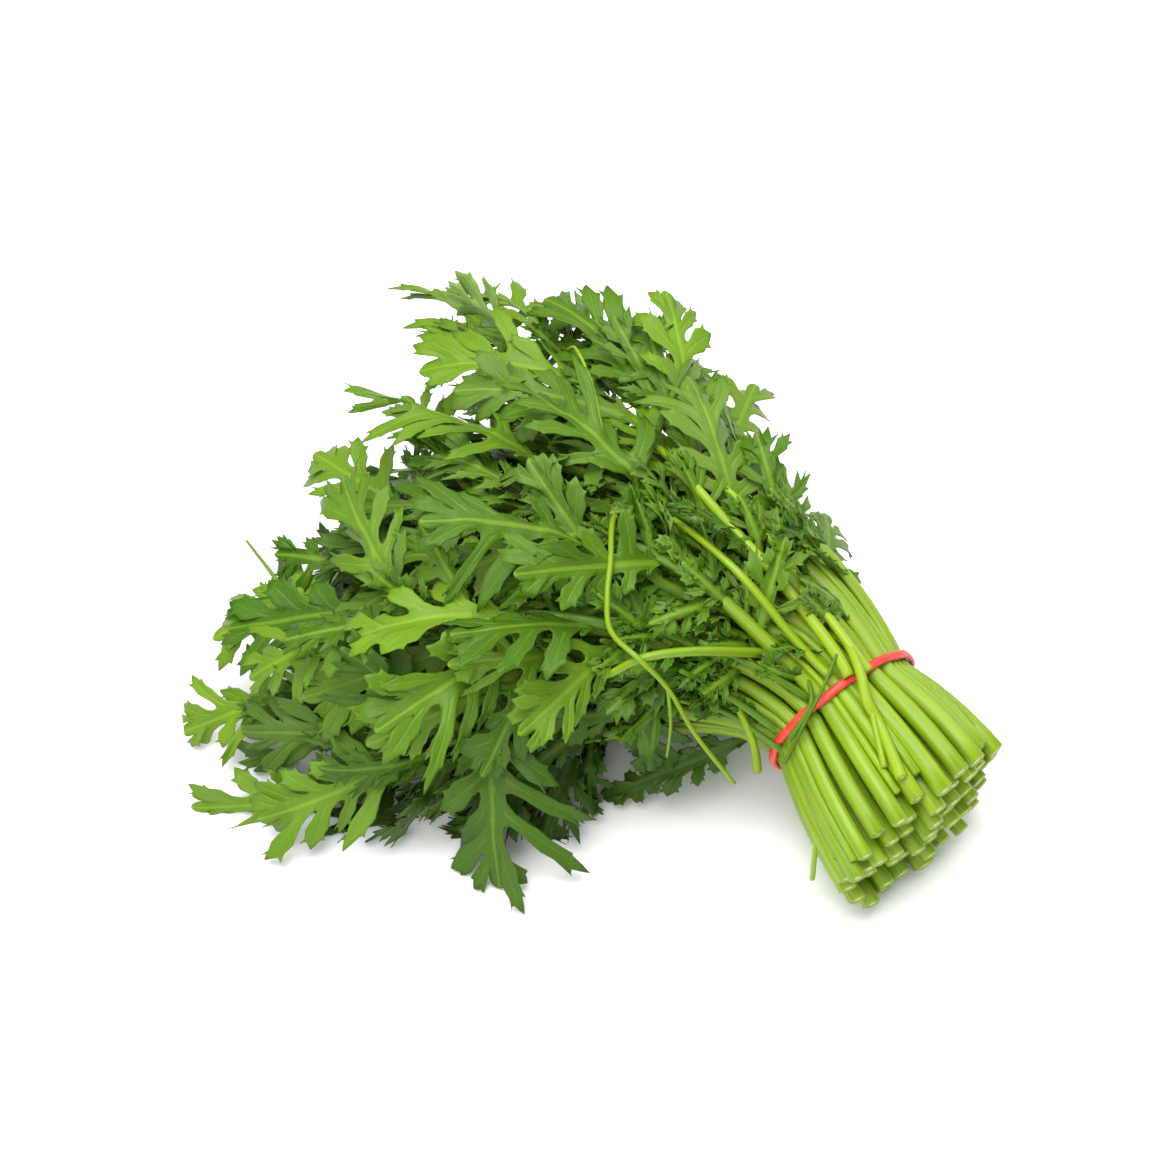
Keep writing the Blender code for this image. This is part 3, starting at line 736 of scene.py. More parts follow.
# Leaves further down a stem that the photograph shows, (ring, index, share of its free length):
# (tip, width), in millimetres
SEEN_SIDES = {
    (0, 5, 0.50): ((34, 4, 98), 18),
    (0, 23, 0.70): ((58, 20, 42), 24),
    (0, 2, 0.34): ((62, -22, 84), 20),
    (0, 0, 0.34): ((83, -9, 46), 24),
    (0, 14, 0.08): ((7, -97, 2), 14),
    (0, 11, 0.44): ((19, -101, 20), 22),
    (0, 9, 0.42): ((12, -70, 82), 24),
}


def turned(vector, axis, angle):
    """vector turned about a unit axis."""
    return (
        vector * math.cos(angle)
        + axis.cross(vector) * math.sin(angle)
        + axis * axis.dot(vector) * (1 - math.cos(angle))
    )


def fan_place(place):
    """Where a place lies in the fan seen from above: its share, and how far from the waist."""
    away = Vector((place.x - WAIST.x, place.y - WAIST.y))
    bearing = math.atan2(away.y, away.x) % (2 * math.pi)
    return (FAN_MIDDLE - bearing) / FAN_HALF, away.length


def inside_fan(place):
    """Whether a place is within the fan of leaves, and not over the heap's top."""
    share, away = fan_place(place)
    return abs(share) < 1 and away < fan_reach(share) and place.z < HEAP_TOP


def outward_from_heap(place):
    """The way out of the heap of leaves at a place: away from its spine, and never downwards."""
    spine = level_direction(FAN_MIDDLE)
    foot = Vector((WAIST.x, WAIST.y, SPINE_Z))
    along = max(SPINE_RUN[0], min(SPINE_RUN[1], (place - foot).dot(spine)))
    away = place - (foot + spine * along)
    away.z = max(LIFT_LEAST, away.z) * LIFT
    return away.normalized()


class Leaf:
    """One leaf: where its base is, which way it goes, and how its blade bends."""

    def __init__(self, base, way, face, length, width, bend, fold, twist, form):
        self.base = base
        self.way = way
        self.face = (face - way * face.dot(way)).normalized()
        self.side = self.way.cross(self.face)
        self.length = length
        self.width = width
        self.bend = bend
        self.fold = fold
        self.twist = twist
        self.form = form

    def place(self, x, y, rise=0.0):
        """The place in space of a point of the flat leaf: x from the base along the rib, y across."""
        radius = self.length / self.bend
        angle = x / radius
        ahead = self.way * math.cos(angle) - self.face * math.sin(angle)
        normal = self.face * math.cos(angle) + self.way * math.sin(angle)
        roll = self.twist * x / self.length
        side = self.side * math.cos(roll) + normal * math.sin(roll)
        normal = ahead.cross(side) * -1
        wave = math.sin(x / self.length * WAVE_TURNS + self.form * WAVE_SHIFT) * WAVE * abs(y)
        lift = self.fold * abs(y) - ARCH * y * y + wave + rise
        spot = (
            self.base
            + self.way * (radius * math.sin(angle))
            - self.face * (radius * (1 - math.cos(angle)))
            + side * y
            + normal * lift
        )
        spot.z = max(spot.z, FLOOR_Z)
        return spot


def belly(t):
    """How far the lobes reach at a share of the way from the first pair to the last."""
    return BELLY[0] + BELLY[1] * math.sin(math.pi * (BELLY_SPAN[0] + BELLY_SPAN[1] * t))


def lobe_ways(lean):
    """The way that a lobe points on the flat leaf, and the way across it."""
    return Vector((math.cos(lean), math.sin(lean))), Vector((math.sin(lean), -math.cos(lean)))


def half_outline(length, width, form):
    """One side of the flat leaf, from the base to the tip: the sinuses, and each lobe's two teeth."""
    rng = random.Random(form)
    sinuses = [(0.0, LEAF_BASE_HALF)]
    lobes = []
    for k in range(LOBE_PAIRS):
        t = k / (LOBE_PAIRS - 1)
        root = length * (FIRST_LOBE + LOBES_RUN * t)
        lean = LOBE_LEAN - LEAN_LOST * t + rng.uniform(-LEAN_UNEVEN, LEAN_UNEVEN)
        reach = width / 2 * belly(t) * rng.uniform(*LOBE_UNEVEN)
        ahead, off = lobe_ways(lean)
        wide = length * LOBE_HALF * TOOTH_HALF
        foot = Vector((root, 0))
        back = foot + ahead * reach * BACK_TOOTH - off * wide
        front = foot + ahead * reach * FRONT_TOOTH + off * wide
        lobes.append((back, front))
        sinuses.append((root + length * SINUS_STEP, RACHIS_HALF))
    return sinuses, lobes


def blade(leaf):
    """The leaf's middle surface as a bmesh in place, cut into triangles while it is flat."""
    flat = bmesh.new()
    sides = [half_outline(leaf.length, leaf.width, leaf.form * 2 + s) for s in (0, 1)]
    rib = [flat.verts.new((x, 0, 0)) for x, _ in sides[0][0]]
    ends = []
    for sign, (sinuses, lobes) in zip((1, -1), sides):
        edge = [flat.verts.new((x, y * sign, 0)) for x, y in sinuses]
        for k, teeth in enumerate(lobes):
            points = [flat.verts.new((p.x, p.y * sign, 0)) for p in teeth]
            flat.faces.new([rib[k], edge[k], *points, edge[k + 1], rib[k + 1]][::-sign])
        ends.append(edge[-1])
    tip = leaf.length
    wide = leaf.width * CREST_HALF
    corners = ((tip * CREST_FROM, wide, 0), (tip, 0, 0), (tip * CREST_FROM, -wide, 0))
    crest = [flat.verts.new(corner) for corner in corners]
    flat.faces.new([rib[-1], ends[0], *crest, ends[1]][::-1])
    bmesh.ops.triangulate(flat, faces=flat.faces[:], ngon_method="EAR_CLIP")
    for vert in flat.verts:
        vert.co = leaf.place(vert.co.x, vert.co.y)
    flat.normal_update()
    return flat


def blade_tree(leaf, thickness):
    """A search tree of the leaf's plain blade, made a closed one of that thickness."""
    surface = blade(leaf)
    offsets = {vert.co.copy().freeze(): vert.normal * (thickness / 2) for vert in surface.verts}
    made = bmesh.ops.extrude_face_region(surface, geom=surface.faces[:], use_keep_orig=True)
    upper = {item for item in made["geom"] if isinstance(item, bmesh.types.BMVert)}
    for vert in surface.verts:
        offset = offsets[vert.co.copy().freeze()]
        vert.co += offset if vert in upper else -offset
    bmesh.ops.recalc_face_normals(surface, faces=surface.faces[:])
    bmesh.ops.triangulate(surface, faces=surface.faces[:])
    tree = BVHTree.FromBMesh(surface)
    surface.free()
    return tree


def leaf_sites(stem):
    """Where a stem's leaves leave it: more of them on the top of the heap and at its left."""
    if stem.ring == 0 and stem.level > 0:
        return SITES_TOP[stem.index % 2] if stem.share < FULL_SHARE else SITES_TOP_RIGHT
    inner = stem.level > INNER_LEVEL and stem.share < INNER_SHARE
    more = stem.share < FEW_SHARE if stem.ring == 0 else inner
    return SITES_FEW if more and stem.ring < 2 else SITES_FEW[:1]


def seen_leaf(stem, along, tip, width, attempt):
    """A leaf that the photograph shows, from its place on the stem to its tip."""
    base = stem.spot(along)
    slack = SEEN_SLACK * attempt / LEAF_TRIES
    goal = tip + Vector([growth.uniform(-slack, slack) for _ in range(3)])
    chord = goal - base
    out = outward_from_heap(base + chord * 0.5)
    turn = growth.uniform(-SEEN_TURN, SEEN_TURN) * (1 + attempt * SEEN_TURN_MORE)
    face = turned(out, chord.normalized(), turn)
    face = (face - chord * (face.dot(chord) / chord.dot(chord))).normalized()
    bend = growth.uniform(*SEEN_BENDS) + SEEN_BEND_MORE * attempt / LEAF_TRIES
    way = chord.normalized() * math.cos(bend / 2) + face * math.sin(bend / 2)
    length = chord.length * (bend / 2) / math.sin(bend / 2)
    width = width or length * SEEN_WIDTH
    fold = growth.uniform(*SEEN_FOLDS)
    return Leaf(base, way, face, length, width, bend, fold, 0.0, growth.randrange(FORMS))


def other_leaf(stem, site, rng, attempt):
    """One random leaf at a site of a stem, freer and smaller with each attempt."""
    ease = 1 - attempt / LEAF_TRIES
    last = site == 1.0
    along = LAST_SITE if last else site + rng.uniform(-SITE_SHIFT, SITE_SHIFT)
    tangent = stem.tangent(along)
    base = stem.spot(along)
    out = outward_from_heap(base)
    out = (out - tangent * out.dot(tangent)).normalized()
    beside = tangent.cross(out)
    around = rng.uniform(-1, 1)
    if last:
        around *= LAST_AROUND
        opening = rng.uniform(0.0, LAST_OPENING + LAST_OPENING_MORE * (1 - ease))
    else:
        around *= SIDE_AROUND
        opening = rng.uniform(*SIDE_OPENING) + SIDE_OPENING_ASIDE * abs(around)
    aside = out * math.cos(around) + beside * math.sin(around)
    way = tangent * math.cos(opening) + aside * math.sin(opening)
    face = turned(out, way, rng.uniform(-FACE_TURN, FACE_TURN))
    length = rng.uniform(*LEAF_LENGTHS) * (OTHER_LEAST + (1 - OTHER_LEAST) * ease)
    width = length * rng.uniform(*LEAF_WIDTHS)
    bend = rng.uniform(*BENDS) * (OTHER_STRAIGHTEST + (1 - OTHER_STRAIGHTEST) * ease)
    fold = rng.uniform(*FOLDS)
    twist = rng.uniform(-TWIST, TWIST)
    form = rng.randrange(FORMS)
    return Leaf(base, way.normalized(), face, length, width, bend, fold, twist, form)


def crosses_own_stem(tree, leaf, stem, along):
    """Whether the leaf meets its own stem elsewhere than at its base."""
    for k in range(STEM_SAMPLES + 1):
        share = k / STEM_SAMPLES
        spot = stem.spot(share)
        if (spot - leaf.base).length > OWN_REACH and abs(share - along) > 0.5 / STEM_SAMPLES:
            if tree.find_nearest(spot, stem.radius(share) + GAP)[0]:
                return True
    return False


def reach_of(leaf):
    """A ball round a leaf: its middle and its radius."""
    return leaf.place(leaf.length / 2, 0), leaf.length * BALL


def leaf_jobs():
    """(stem number, site, what is seen of the leaf) for every leaf, in the order of their placing."""
    place = {(stem.ring, stem.index): n for n, stem in enumerate(stems)}
    jobs = []
    for (ring, index), (_, tip) in SEEN_ENDS.items():
        jobs.append((place[ring, index], LAST_SITE, (Vector(tip) / 1000, 0)))
    for (ring, index, along), (tip, width) in SEEN_SIDES.items():
        jobs.append((place[ring, index], along, (Vector(tip) / 1000, width / 1000)))
    others = []
    for n, stem in enumerate(stems):
        for site in leaf_sites(stem):
            if site != 1.0 or not stem.seen:
                others.append((site != 1.0, stem.ring, n, site))
    return jobs + [(n, site, None) for _, _, n, site in sorted(others)]


def grown_leaves():
    """Each stem's leaves, and where they stand. A leaf is drawn again until it is clear of all that
    stands, and left out where the heap has no room for it."""
    standing = []
    leaves = [[] for _ in stems]
    for n, site, seen in leaf_jobs():
        for attempt in range(LEAF_TRIES):
            if seen:
                leaf = seen_leaf(stems[n], site, *seen, attempt)
            else:
                leaf = other_leaf(stems[n], site, growth, attempt)
            if not seen and not inside_fan(leaf.place(leaf.length, 0)):
                continue
            tree = blade_tree(leaf, LEAF_THICK + LEAF_ROOM)
            if any(tree.overlap(other) for m, other in enumerate(stem_trees) if m != n):
                continue
            if any(tree.overlap(other) for other, _, _ in standing):
                continue
            if crosses_own_stem(tree, leaf, stems[n], site):
                continue
            standing.append((blade_tree(leaf, LEAF_THICK), *reach_of(leaf)))
            leaves[n].append(leaf)
            break
    return leaves, standing


leaves, standing = grown_leaves()

# A leaf's blade: its pairs of lobes, how far they reach, lean and curl, and how far down the heap
# the blade is darkened with painted shade
LOBE_UNIT = 0.245
SMALL_SPAN = 0.15
SMALL_FOOT = 0.09
SMALL_REACH = 0.16
MAIN_SPAN = 0.66
MAIN_REACH = (0.62, 1.25)
MAIN_WIDE = (0.72, 1.22)
MAIN_LEAN = 0.2
PAIR_COUNT = (3, 5)
PAIR_LENGTH = 0.0135
LAST_END = 0.90
LAST_FOOT = 0.02
LAST_LEAN = math.radians(38)
LAST_REACH = 0.34
YOUNG_LENGTH = 0.034
SLANT = 0.08
BOW = 0.10
FOOT_EASE = 0.5
BLADE = 0.0004
CUP = 0.0007
PAINTED_SHADE_DEPTH = 0.048
DEPTH_AT = 0.6
LOBE_CURL = 0.22
FLOP = 0.5
DROOP_LOBES = 0.25
TURN_LOBES = 0.6
TURN_FROM = 0.3
ROW_UNEVEN = (0.92, 1.08)
FAR_OFF_VEIN = 3.0

# One row of a lobe's cage: how far out its edges, its quarter lines and its middle lie, as shares
# of the lobe's reach, and how far its edges stand off the middle, in lobe units
MAIN_ROWS = (
    (0.34, 0.34, 0.34, 0.66),
    (0.68, 0.56, 0.56, 1.85),
    (0.74, 0.76, 0.76, 0.82),
    (1.0, 0.79, 1.22, 1.75),
)
YOUNG_ROWS = (
    (0.34, 0.34, 0.34, 0.66),
    (0.72, 0.66, 0.66, 1.5),
    (0.76, 0.78, 0.78, 1.1),
    (0.98, 0.90, 1.14, 1.45),
)
LAST_ROWS = ((0.52, 0.50, 0.50, 0.9), (1.0, 0.78, 1.22, 1.65))
FIRST_ROWS = ((0.5, 0.5, 0.5, 0.35), (1.0, 1.0, 1.15, 0.4))

# The tip of the leaf: each row's place along the rib and its width, and the notches of the last row
TIP_ROWS = ((LAST_END, 1.0), (0.96, 1.2), (1.0, 1.0), (1.06, 0.3))
TIP_HALF = 0.042
TIP_NOTCH = 0.05
TIP_SPREAD = 3
LEAF_WELD = 1e-5

# Its greens, the darkest of them painted shade for leaves deep in the heap, and how many cloudy
# patches, grains and side veins there are
LEAF_LIGHT = (0.119, 0.230, 0.009)
LEAF_MID = (0.042, 0.117, 0.002)
LEAF_GREY = (0.093, 0.176, 0.020)
LEAF_PAINTED_SHADE = (0.018, 0.052, 0.002)
RIB_PALE = (0.27, 0.42, 0.03)
UNDER = (0.17, 0.30, 0.035)
UNDER_MID = (0.15, 0.27, 0.04)
UNDER_GREY = (0.2, 0.3, 0.08)
PATCHES = 45.0
GRAIN = 900.0
SIDE_VEINS = 6.0
SIDE_VEIN_SLANT = 0.55
RIB_WIDTH = (1.6, 1.1)
VEIN_WIDTH = (0.55, 0.3)
RIB_SHOWS = 0.30
VEIN_SHOWS = 0.14
FINE_SHOWS = 0.06
PAINTED_SHADE_SHOWS = 0.85
LEAF_TINT_SEED = 6


def pairs_of(leaf):
    """Three to five pairs of large lobes, more on a longer leaf."""
    return max(PAIR_COUNT[0], min(PAIR_COUNT[1], round(leaf.length / PAIR_LENGTH + leaf.form % 2 - 0.5)))


def lobes_of(leaf, side):
    """The lobes of one side: (span of the rib, foot, lean, reach, rows, columns)."""
    rng = random.Random(leaf.form * 2 + side)
    length, width = leaf.length, leaf.width
    span = MAIN_SPAN * length / pairs_of(leaf)
    start = SMALL_SPAN * length
    foot = SMALL_FOOT * length
    lobes = [((0.0, start), foot, LOBE_LEAN, width * SMALL_REACH, FIRST_ROWS, 2)]
    for k in range(pairs_of(leaf)):
        t = k / (pairs_of(leaf) - 1)
        root = start + 0.5 * span
        lean = LOBE_LEAN - LEAN_LOST * t + rng.uniform(-MAIN_LEAN, MAIN_LEAN)
        reach = width / 2 * belly(t) * rng.uniform(*MAIN_REACH)
        end = start + span
        rows = YOUNG_ROWS if length < YOUNG_LENGTH else MAIN_ROWS
        lobes.append(((start, end), root, lean, reach, rows, 4))
        start = end
    foot = start + LAST_FOOT * length
    lobes.append(((start, LAST_END * length), foot, LAST_LEAN, width * LAST_REACH, LAST_ROWS, 4))
    return lobes


def rib_half(leaf, x):
    """Half the width of the green that runs along the rib."""
    widening = min(1.0, x / (SMALL_SPAN * leaf.length))
    return LEAF_BASE_HALF + (RACHIS_HALF - LEAF_BASE_HALF) * widening


def add_lobe(sheet, marks, leaf, sign, lobe, rng):
    """One lobe's cage on the flat sheet, its first row on the rib."""
    (start, end), root, lean, reach, rows, columns = lobe
    place_mark, lobe_mark, rise_mark = marks
    unit = leaf.length * LOBE_UNIT * MAIN_SPAN / pairs_of(leaf)
    ahead, off = lobe_ways(lean)
    flop = rng.uniform(-FLOP, FLOP)
    twist = rng.uniform(-TURN_LOBES, TURN_LOBES)
    droop = rng.uniform(0.0, DROOP_LOBES)
    wide = rng.uniform(*MAIN_WIDE)
    uneven = [rng.uniform(*ROW_UNEVEN) for _ in rows]
    curl = rng.uniform(-LOBE_CURL, LOBE_CURL)
    count = len(rows) + 1
    grid = bmesh.ops.create_grid(sheet, x_segments=columns, y_segments=count, size=1)["verts"]
    for vert in grid:
        t = vert.co.x
        row = round((vert.co.y + 1) / 2 * count)
        x = start + (end - start) * (t + 1) / 2
        if row == 0:
            spot = Vector((x, 0))
            out = 0.0
        else:
            edge, quarter, middle, half = rows[max(0, row - 2)]
            inward = (quarter - middle) * min(1.0, 2 * abs(t))
            outward = (edge - quarter) * max(0.0, 2 * abs(t) - 1)
            out = middle + inward + outward
            out *= uneven[max(0, row - 2)]
            half *= wide
            bow = (BOW + curl) * out * out * reach
            spot = Vector((root + bow, 0)) + ahead * ((out + SLANT * t) * reach)
            spot += off * (t * half * unit)
            if row == 1:
                spot = Vector((x, rib_half(leaf, x))).lerp(spot, FOOT_EASE * (1 - t * t))
                out *= FOOT_EASE
        lift = out * reach * (flop - droop * out) + CUP * t * t * out
        lift += twist * t * half * unit * max(0.0, out - TURN_FROM) if row else 0.0
        vert.co = (spot.x, spot.y * sign, 0)
        vert[place_mark] = (spot.x / leaf.length, abs(spot.y) * 1000, 0)
        vert[lobe_mark] = (out, abs(t) * half * unit * 1000 if row else FAR_OFF_VEIN, 0)
        vert[rise_mark] = lift


def depth_of(leaf):
    """How deep in the heap a leaf lies, for its painted shade: 0 on its top, 1 well below it."""
    middle = leaf.place(leaf.length * DEPTH_AT, 0)
    share, away = fan_place(middle)
    share = max(-1.0, min(1.0, share))
    top = crown_height(share, min(1.0, away / fan_reach(share)))
    return max(0.0, min(1.0, (top - middle.z) / PAINTED_SHADE_DEPTH))


def leaf_sheet(leaf, tint, shade):
    """A leaf's cage: a flat sheet of lobes, welded along the rib, then bent as the leaf is."""
    sheet = bmesh.new()
    layers = sheet.verts.layers
    place_mark = layers.float_vector.new("leaf_place")
    lobe_mark = layers.float_vector.new("lobe_place")
    rise_mark = layers.float.new("rise")
    marks = (place_mark, lobe_mark, rise_mark)
    rng = random.Random(int(tint * 1e6))
    for side, sign in enumerate((1, -1)):
        for lobe in lobes_of(leaf, side):
            add_lobe(sheet, marks, leaf, sign, lobe, rng)
    last = len(TIP_ROWS) - 1
    grid = bmesh.ops.create_grid(sheet, x_segments=2, y_segments=last, size=1)["verts"]
    for vert in grid:
        t = vert.co.x
        row = round((vert.co.y + 1) / 2 * last)
        x, half = TIP_ROWS[row]
        if row == last and t:
            x -= TIP_NOTCH
        half = leaf.length * TIP_HALF * half if row else rib_half(leaf, leaf.length)
        vert.co = (x * leaf.length, half * t * (TIP_SPREAD if row == last else 1), 0)
        vert[place_mark] = (x, abs(t) * half * 1000, 0)
        vert[lobe_mark] = (1.0, abs(t) * FAR_OFF_VEIN, 0)
    bmesh.ops.remove_doubles(sheet, verts=sheet.verts[:], dist=LEAF_WELD)
    bmesh.ops.recalc_face_normals(sheet, faces=sheet.faces[:])
    if sum(face.normal.z for face in sheet.faces) > 0:
        bmesh.ops.reverse_faces(sheet, faces=sheet.faces[:])
    # A leaf's depth in the heap sets how much painted shade darkens it
    depth = depth_of(leaf)
    for vert in sheet.verts:
        vert.co = kept_in_box(leaf.place(vert.co.x, vert.co.y, vert[rise_mark]) + HOME)
        # The young leaves' tint is lowered towards the mid green: painted shade
        vert[lobe_mark].z = tint * shade
        vert[place_mark].z = depth
    return sheet


def leaf_finish(name, light, mid, grey, rib, roughness, relief):
    """Green with a pale rib and fine veins, each leaf in its own tint, with painted shade deep in the
    heap.
    """
    finish = Finish(name, roughness, Specular_IOR_Level=0.22)
    along, off_rib, depth = finish.read("leaf_place")
    out, off_vein, tint = finish.read("lobe_place")
    patch = finish.noise(PATCHES)
    grain = finish.noise(GRAIN, 2.0)
    # Each leaf lies between its mid and light green, patchy and finely grained, and some are greyer
    green = finish.mix((tint * 1.3 + patch * 0.5 - 0.4).ramp(0.0, 1.0), mid, light)
    green = finish.mix((tint * 7.0).math("FRACT").ramp(0.55, 0.9) * 0.7, green, grey)
    green = finish.mix(grain.ramp(0.45, 0.75) * 0.18, green, light)
    # The rib and each lobe's vein thin out towards their ends, and fine veins slant off the lobe's
    on_rib = 1 - (off_rib / (RIB_WIDTH[0] - along * RIB_WIDTH[1])).ramp(0.35, 1.2)
    on_vein = 1 - (off_vein / (VEIN_WIDTH[0] - out * VEIN_WIDTH[1])).ramp(0.2, 1.2)
    on_vein = on_vein * (1 - out.ramp(0.75, 1.05))
    side_veins = (out * SIDE_VEINS - off_vein * SIDE_VEIN_SLANT).math("FRACT")
    side_veins = (side_veins - 0.5).math("ABSOLUTE")
    fine = (1 - side_veins.ramp(0.03, 0.14)) * 0.3
    pale = on_rib * RIB_SHOWS + on_vein * VEIN_SHOWS + fine * FINE_SHOWS
    green = finish.mix(pale.math("MINIMUM", 0.8), green, rib)
    # Painted shade: a leaf deep in the heap is darkened towards a shaded green
    finish.paint(Base_Color=finish.mix(depth * PAINTED_SHADE_SHOWS, green, LEAF_PAINTED_SHADE))
    finish.bump(grain * 0.5 - (on_vein + fine * 0.5 + on_rib), relief, 0.5)
    return finish.material


upper = leaf_finish("leaf_upper_side", LEAF_LIGHT, LEAF_MID, LEAF_GREY, RIB_PALE, 0.48, 0.0004)
under = leaf_finish("leaf_underside", UNDER, UNDER_MID, UNDER_GREY, RIB_PALE, 0.6, 0.0005)
tints = random.Random(LEAF_TINT_SEED)


def leaf_spray(name, group, nodes, rounds, shade):
    """Several leaves as one piece: their sheets, rounded where asked and given thickness."""
    spray = bmesh.new()
    for leaf in group:
        sheet = leaf_sheet(leaf, tints.random(), shade)
        part = bpy.data.meshes.new("leaf")
        sheet.to_mesh(part)
        sheet.free()
        spray.from_mesh(part)
        bpy.data.meshes.remove(part)
    piece = shown(name, spray, [upper, under], nodes)
    if rounds:
        rounded = piece.modifiers.new("rounded", "SUBSURF")
        rounded.levels = rounded.render_levels = rounds
    blades = piece.modifiers.new("blades", "SOLIDIFY")
    blades.thickness = BLADE
    blades.offset = -1
    blades.material_offset = 1
    blades.material_offset_rim = 0


for stem, own in zip(stems, leaves):
    if own:
        leaf_spray(stem.name.replace("leafy_stem", "leaves"), own, [stem.name], 1, 1.0)

# The young leaves. A real bunch holds several hundred: thin soft blades like the large ones but
# smaller, which grow wherever a stem has room left for them, down to the bare stems. Their greens
# are darkened, as painted shade among the stems. They are in three pieces: those of the stems at
# the left, in the middle and at the right.
SMALL_SEED = 11
SMALL_COUNT = 560
SMALL_TRIES = 14
SMALL_LENGTHS = (0.018, 0.044)
SMALL_SITES = (0.30, 0.97)
SMALL_ROOM = 0.0003
LOW_SITES = (0.10, 0.34)
LOW_LENGTHS = (0.014, 0.030)
LOW_RIGHT = 60
RIGHT_FROM = (0.5, -0.2)
LOW_COUNT = 70
FAR_SITES = (0.5, 0.98)
FAR_COUNT = 200
FAR_FROM = (-0.2, -0.5)
BARE_HEIGHT = 0.030
BARE_REACH = 0.080
# How far the young leaves' tints are lowered towards the mid green, as painted shade
YOUNG_PAINTED_SHADE = 0.6
YOUNG_PIECES = (("left", -1.1, -0.33), ("middle", -0.33, 0.33), ("right", 0.33, 1.1))


def small_leaves():
    """(stem number, leaf) for the small leaves that find room between the others."""
    rng = random.Random(SMALL_SEED)
    outer = [n for n, stem in enumerate(stems) if stem.ring < 2]
    right = [n for n in outer if stems[n].share > RIGHT_FROM[0] and stems[n].level > RIGHT_FROM[1]]
    upper = [n for n in outer if stems[n].level > 0.0]
    far = [n for n, stem in enumerate(stems) if stem.share > FAR_FROM[0] and stem.level > FAR_FROM[1]]
    searches = [(outer, SMALL_SITES, SMALL_LENGTHS)] * SMALL_COUNT
    searches += [(right, LOW_SITES, LOW_LENGTHS)] * LOW_RIGHT
    searches += [(upper, LOW_SITES, LOW_LENGTHS)] * LOW_COUNT
    searches += [(far, FAR_SITES, SMALL_LENGTHS)] * FAR_COUNT
    found = []
    for among, sites, lengths in searches:
        n = rng.choice(among)
        for attempt in range(SMALL_TRIES):
            site = rng.uniform(*sites)
            leaf = other_leaf(stems[n], site, rng, attempt * LEAF_TRIES / SMALL_TRIES)
            size = rng.uniform(*lengths) / leaf.length
            leaf.length *= size
            leaf.width *= size
            middle, radius = reach_of(leaf)
            if not inside_fan(leaf.place(leaf.length, 0)):
                continue
            if middle.z < BARE_HEIGHT and (middle.xy - WAIST.xy).length < BARE_REACH:
                continue
            tree = blade_tree(leaf, SMALL_ROOM)
            near = [t for t, m, r in standing if (m - middle).length < r + radius]
            near += [t for m, t in enumerate(stem_trees) if m != n]
            if not any(tree.overlap(other) for other in near):
                standing.append((tree, middle, radius))
                found.append((n, leaf))
                break
    return found


young = small_leaves()
for side, low, high in YOUNG_PIECES:
    group = [leaf for n, leaf in young if low <= stems[n].share < high]
    leaf_spray(f"young_leaves_{side}", group, [], 0, YOUNG_PAINTED_SHADE)

# The rubber band: one flat loop of red rubber. It is stretched tight round the stems at the waist,
# and runs in faint waves, as the stems under it aren't even.
BAND_WIDTH = 0.0029
BAND_THICK = 0.0016
BAND_RED = (0.70, 0.04, 0.022)
BAND_ROUND = 96
BAND_PROFILE = ((0, -0.5), (0.45, -0.5), (0.85, -0.38), (1, 0), (0.85, 0.38), (0.45, 0.5), (0, 0.5))
BAND_WAVES = ((0.0004, 3, 1), (0.0002, 11, 0))
BLOOM = 300.0
BLOOM_PALER = (1.15, 0.02)


def band_finish():
    """Smooth satin rubber, dulled and paled by a faint bloom."""
    finish = Finish("red_rubber_skin", 0.45, Subsurface_Weight=0.1, Subsurface_Scale=0.001)
    bloom = finish.noise(BLOOM)
    paler = [v * BLOOM_PALER[0] + BLOOM_PALER[1] for v in BAND_RED]
    finish.paint(Base_Color=finish.mix(bloom.ramp(0.35, 0.75), BAND_RED, paler))
    finish.paint(Roughness=bloom * 0.2 + 0.35)
    finish.bump(bloom, 0.0002, 0.3)
    return finish.material


def band_loop():
    """The strap's section, spun round the bunch's axis, and waved a little along that axis."""
    inner = RINGS[0][1] + STEM_R + GAP
    strap = bmesh.new()
    ring = [strap.verts.new((inner + r * BAND_THICK, 0, z * BAND_WIDTH)) for r, z in BAND_PROFILE]
    edges = [strap.edges.new((a, b)) for a, b in zip(ring, ring[1:] + ring[:1])]
    about = {"cent": (0, 0, 0), "axis": (0, 0, 1), "angle": 2 * math.pi}
    bmesh.ops.spin(strap, geom=ring + edges, steps=BAND_ROUND, use_merge=True, **about)
    turn = AXIS.to_track_quat("Z", "Y")
    for vert in strap.verts:
        angle = math.atan2(vert.co.y, vert.co.x)
        vert.co.z += sum(high * math.sin(turns * angle + shift) for high, turns, shift in BAND_WAVES)
        vert.co = kept_in_box(turn @ vert.co + WAIST + HOME)
    strap.normal_update()
    bmesh.ops.recalc_face_normals(strap, faces=strap.faces[:])
    return strap


shown("band", band_loop(), [band_finish()], ["rubber_band"])

# The table: a plain white sheet that the bunch lies on, under three soft square lamps and a pale
# sky, as on a photographer's table.
FLOOR_SIZE = 6.0
FLOOR_GREY = 0.92
WORLD_LIGHT = 0.45
LAMPS = (
    ((-0.15, -0.12, 1.42), 1.1, 30.0),
    ((0.8, 0.7, 1.0), 0.7, 5.0),
    ((-0.35, -1.0, 0.8), 0.9, 8.0),
)


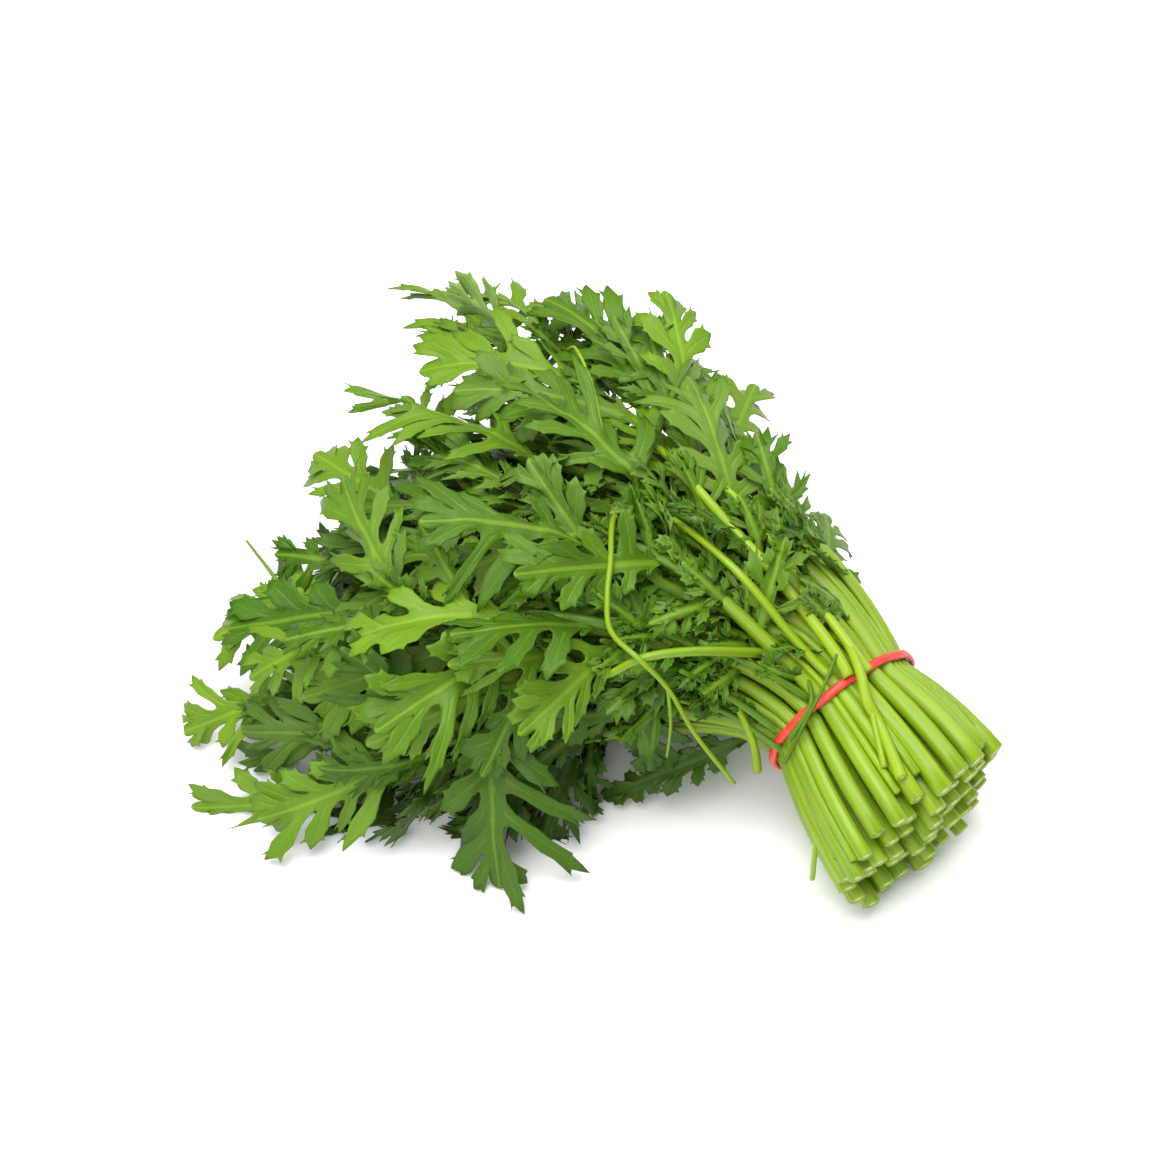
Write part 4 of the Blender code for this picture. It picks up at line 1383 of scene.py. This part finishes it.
def plain_floor():
    """A level white sheet at the height that the bunch lies on."""
    sheet = bmesh.new()
    bmesh.ops.create_grid(sheet, x_segments=1, y_segments=1, size=FLOOR_SIZE / 2)
    bmesh.ops.translate(sheet, verts=sheet.verts, vec=(0, 0, model_low.z))
    mesh = bpy.data.meshes.new("table")
    sheet.to_mesh(mesh)
    sheet.free()
    finish = Finish("table_white", 0.8)
    finish.surface.inputs["Base Color"].default_value = (FLOOR_GREY, FLOOR_GREY, FLOOR_GREY, 1)
    mesh.materials.append(finish.material)
    table = bpy.data.objects.new("table", mesh)
    bpy.context.scene.collection.objects.link(table)


def soft_lamp(number, place, size, watts):
    """A square lamp that faces the bunch."""
    light = bpy.data.lights.new(f"lamp_{number}", "AREA")
    light.shape = "SQUARE"
    light.size = size
    light.energy = watts
    lamp = bpy.data.objects.new(f"lamp_{number}", light)
    lamp.location = place
    lamp.rotation_euler = (-Vector(place)).to_track_quat("-Z", "Y").to_euler()
    bpy.context.scene.collection.objects.link(lamp)


plain_floor()
for number, (place, size, watts) in enumerate(LAMPS):
    soft_lamp(number, place, size, watts)
sky = bpy.data.worlds.new("studio")
sky.use_nodes = True
sky.node_tree.nodes["Background"].inputs["Color"].default_value = (1, 1, 1, 1)
sky.node_tree.nodes["Background"].inputs["Strength"].default_value = WORLD_LIGHT
bpy.context.scene.world = sky
bpy.context.scene.view_settings.view_transform = "Standard"

# The camera: it looks down at the bunch from in front and well above, through a long lens, as the
# photograph was taken.
CAMERA_RISE = math.radians(48)
CAMERA_AWAY = 1.1
FRAME_WIDE = 0.418
SENSOR = 36.0

camera = bpy.data.cameras.new("camera")
camera.sensor_width = SENSOR
camera.lens = SENSOR * CAMERA_AWAY / FRAME_WIDE
camera.clip_start = 0.01
viewer = bpy.data.objects.new("camera", camera)
back = Vector((0, -math.cos(CAMERA_RISE), math.sin(CAMERA_RISE)))
viewer.location = HOME + back * CAMERA_AWAY
viewer.rotation_euler = (-back).to_track_quat("-Z", "Y").to_euler()
bpy.context.scene.collection.objects.link(viewer)
bpy.context.scene.camera = viewer
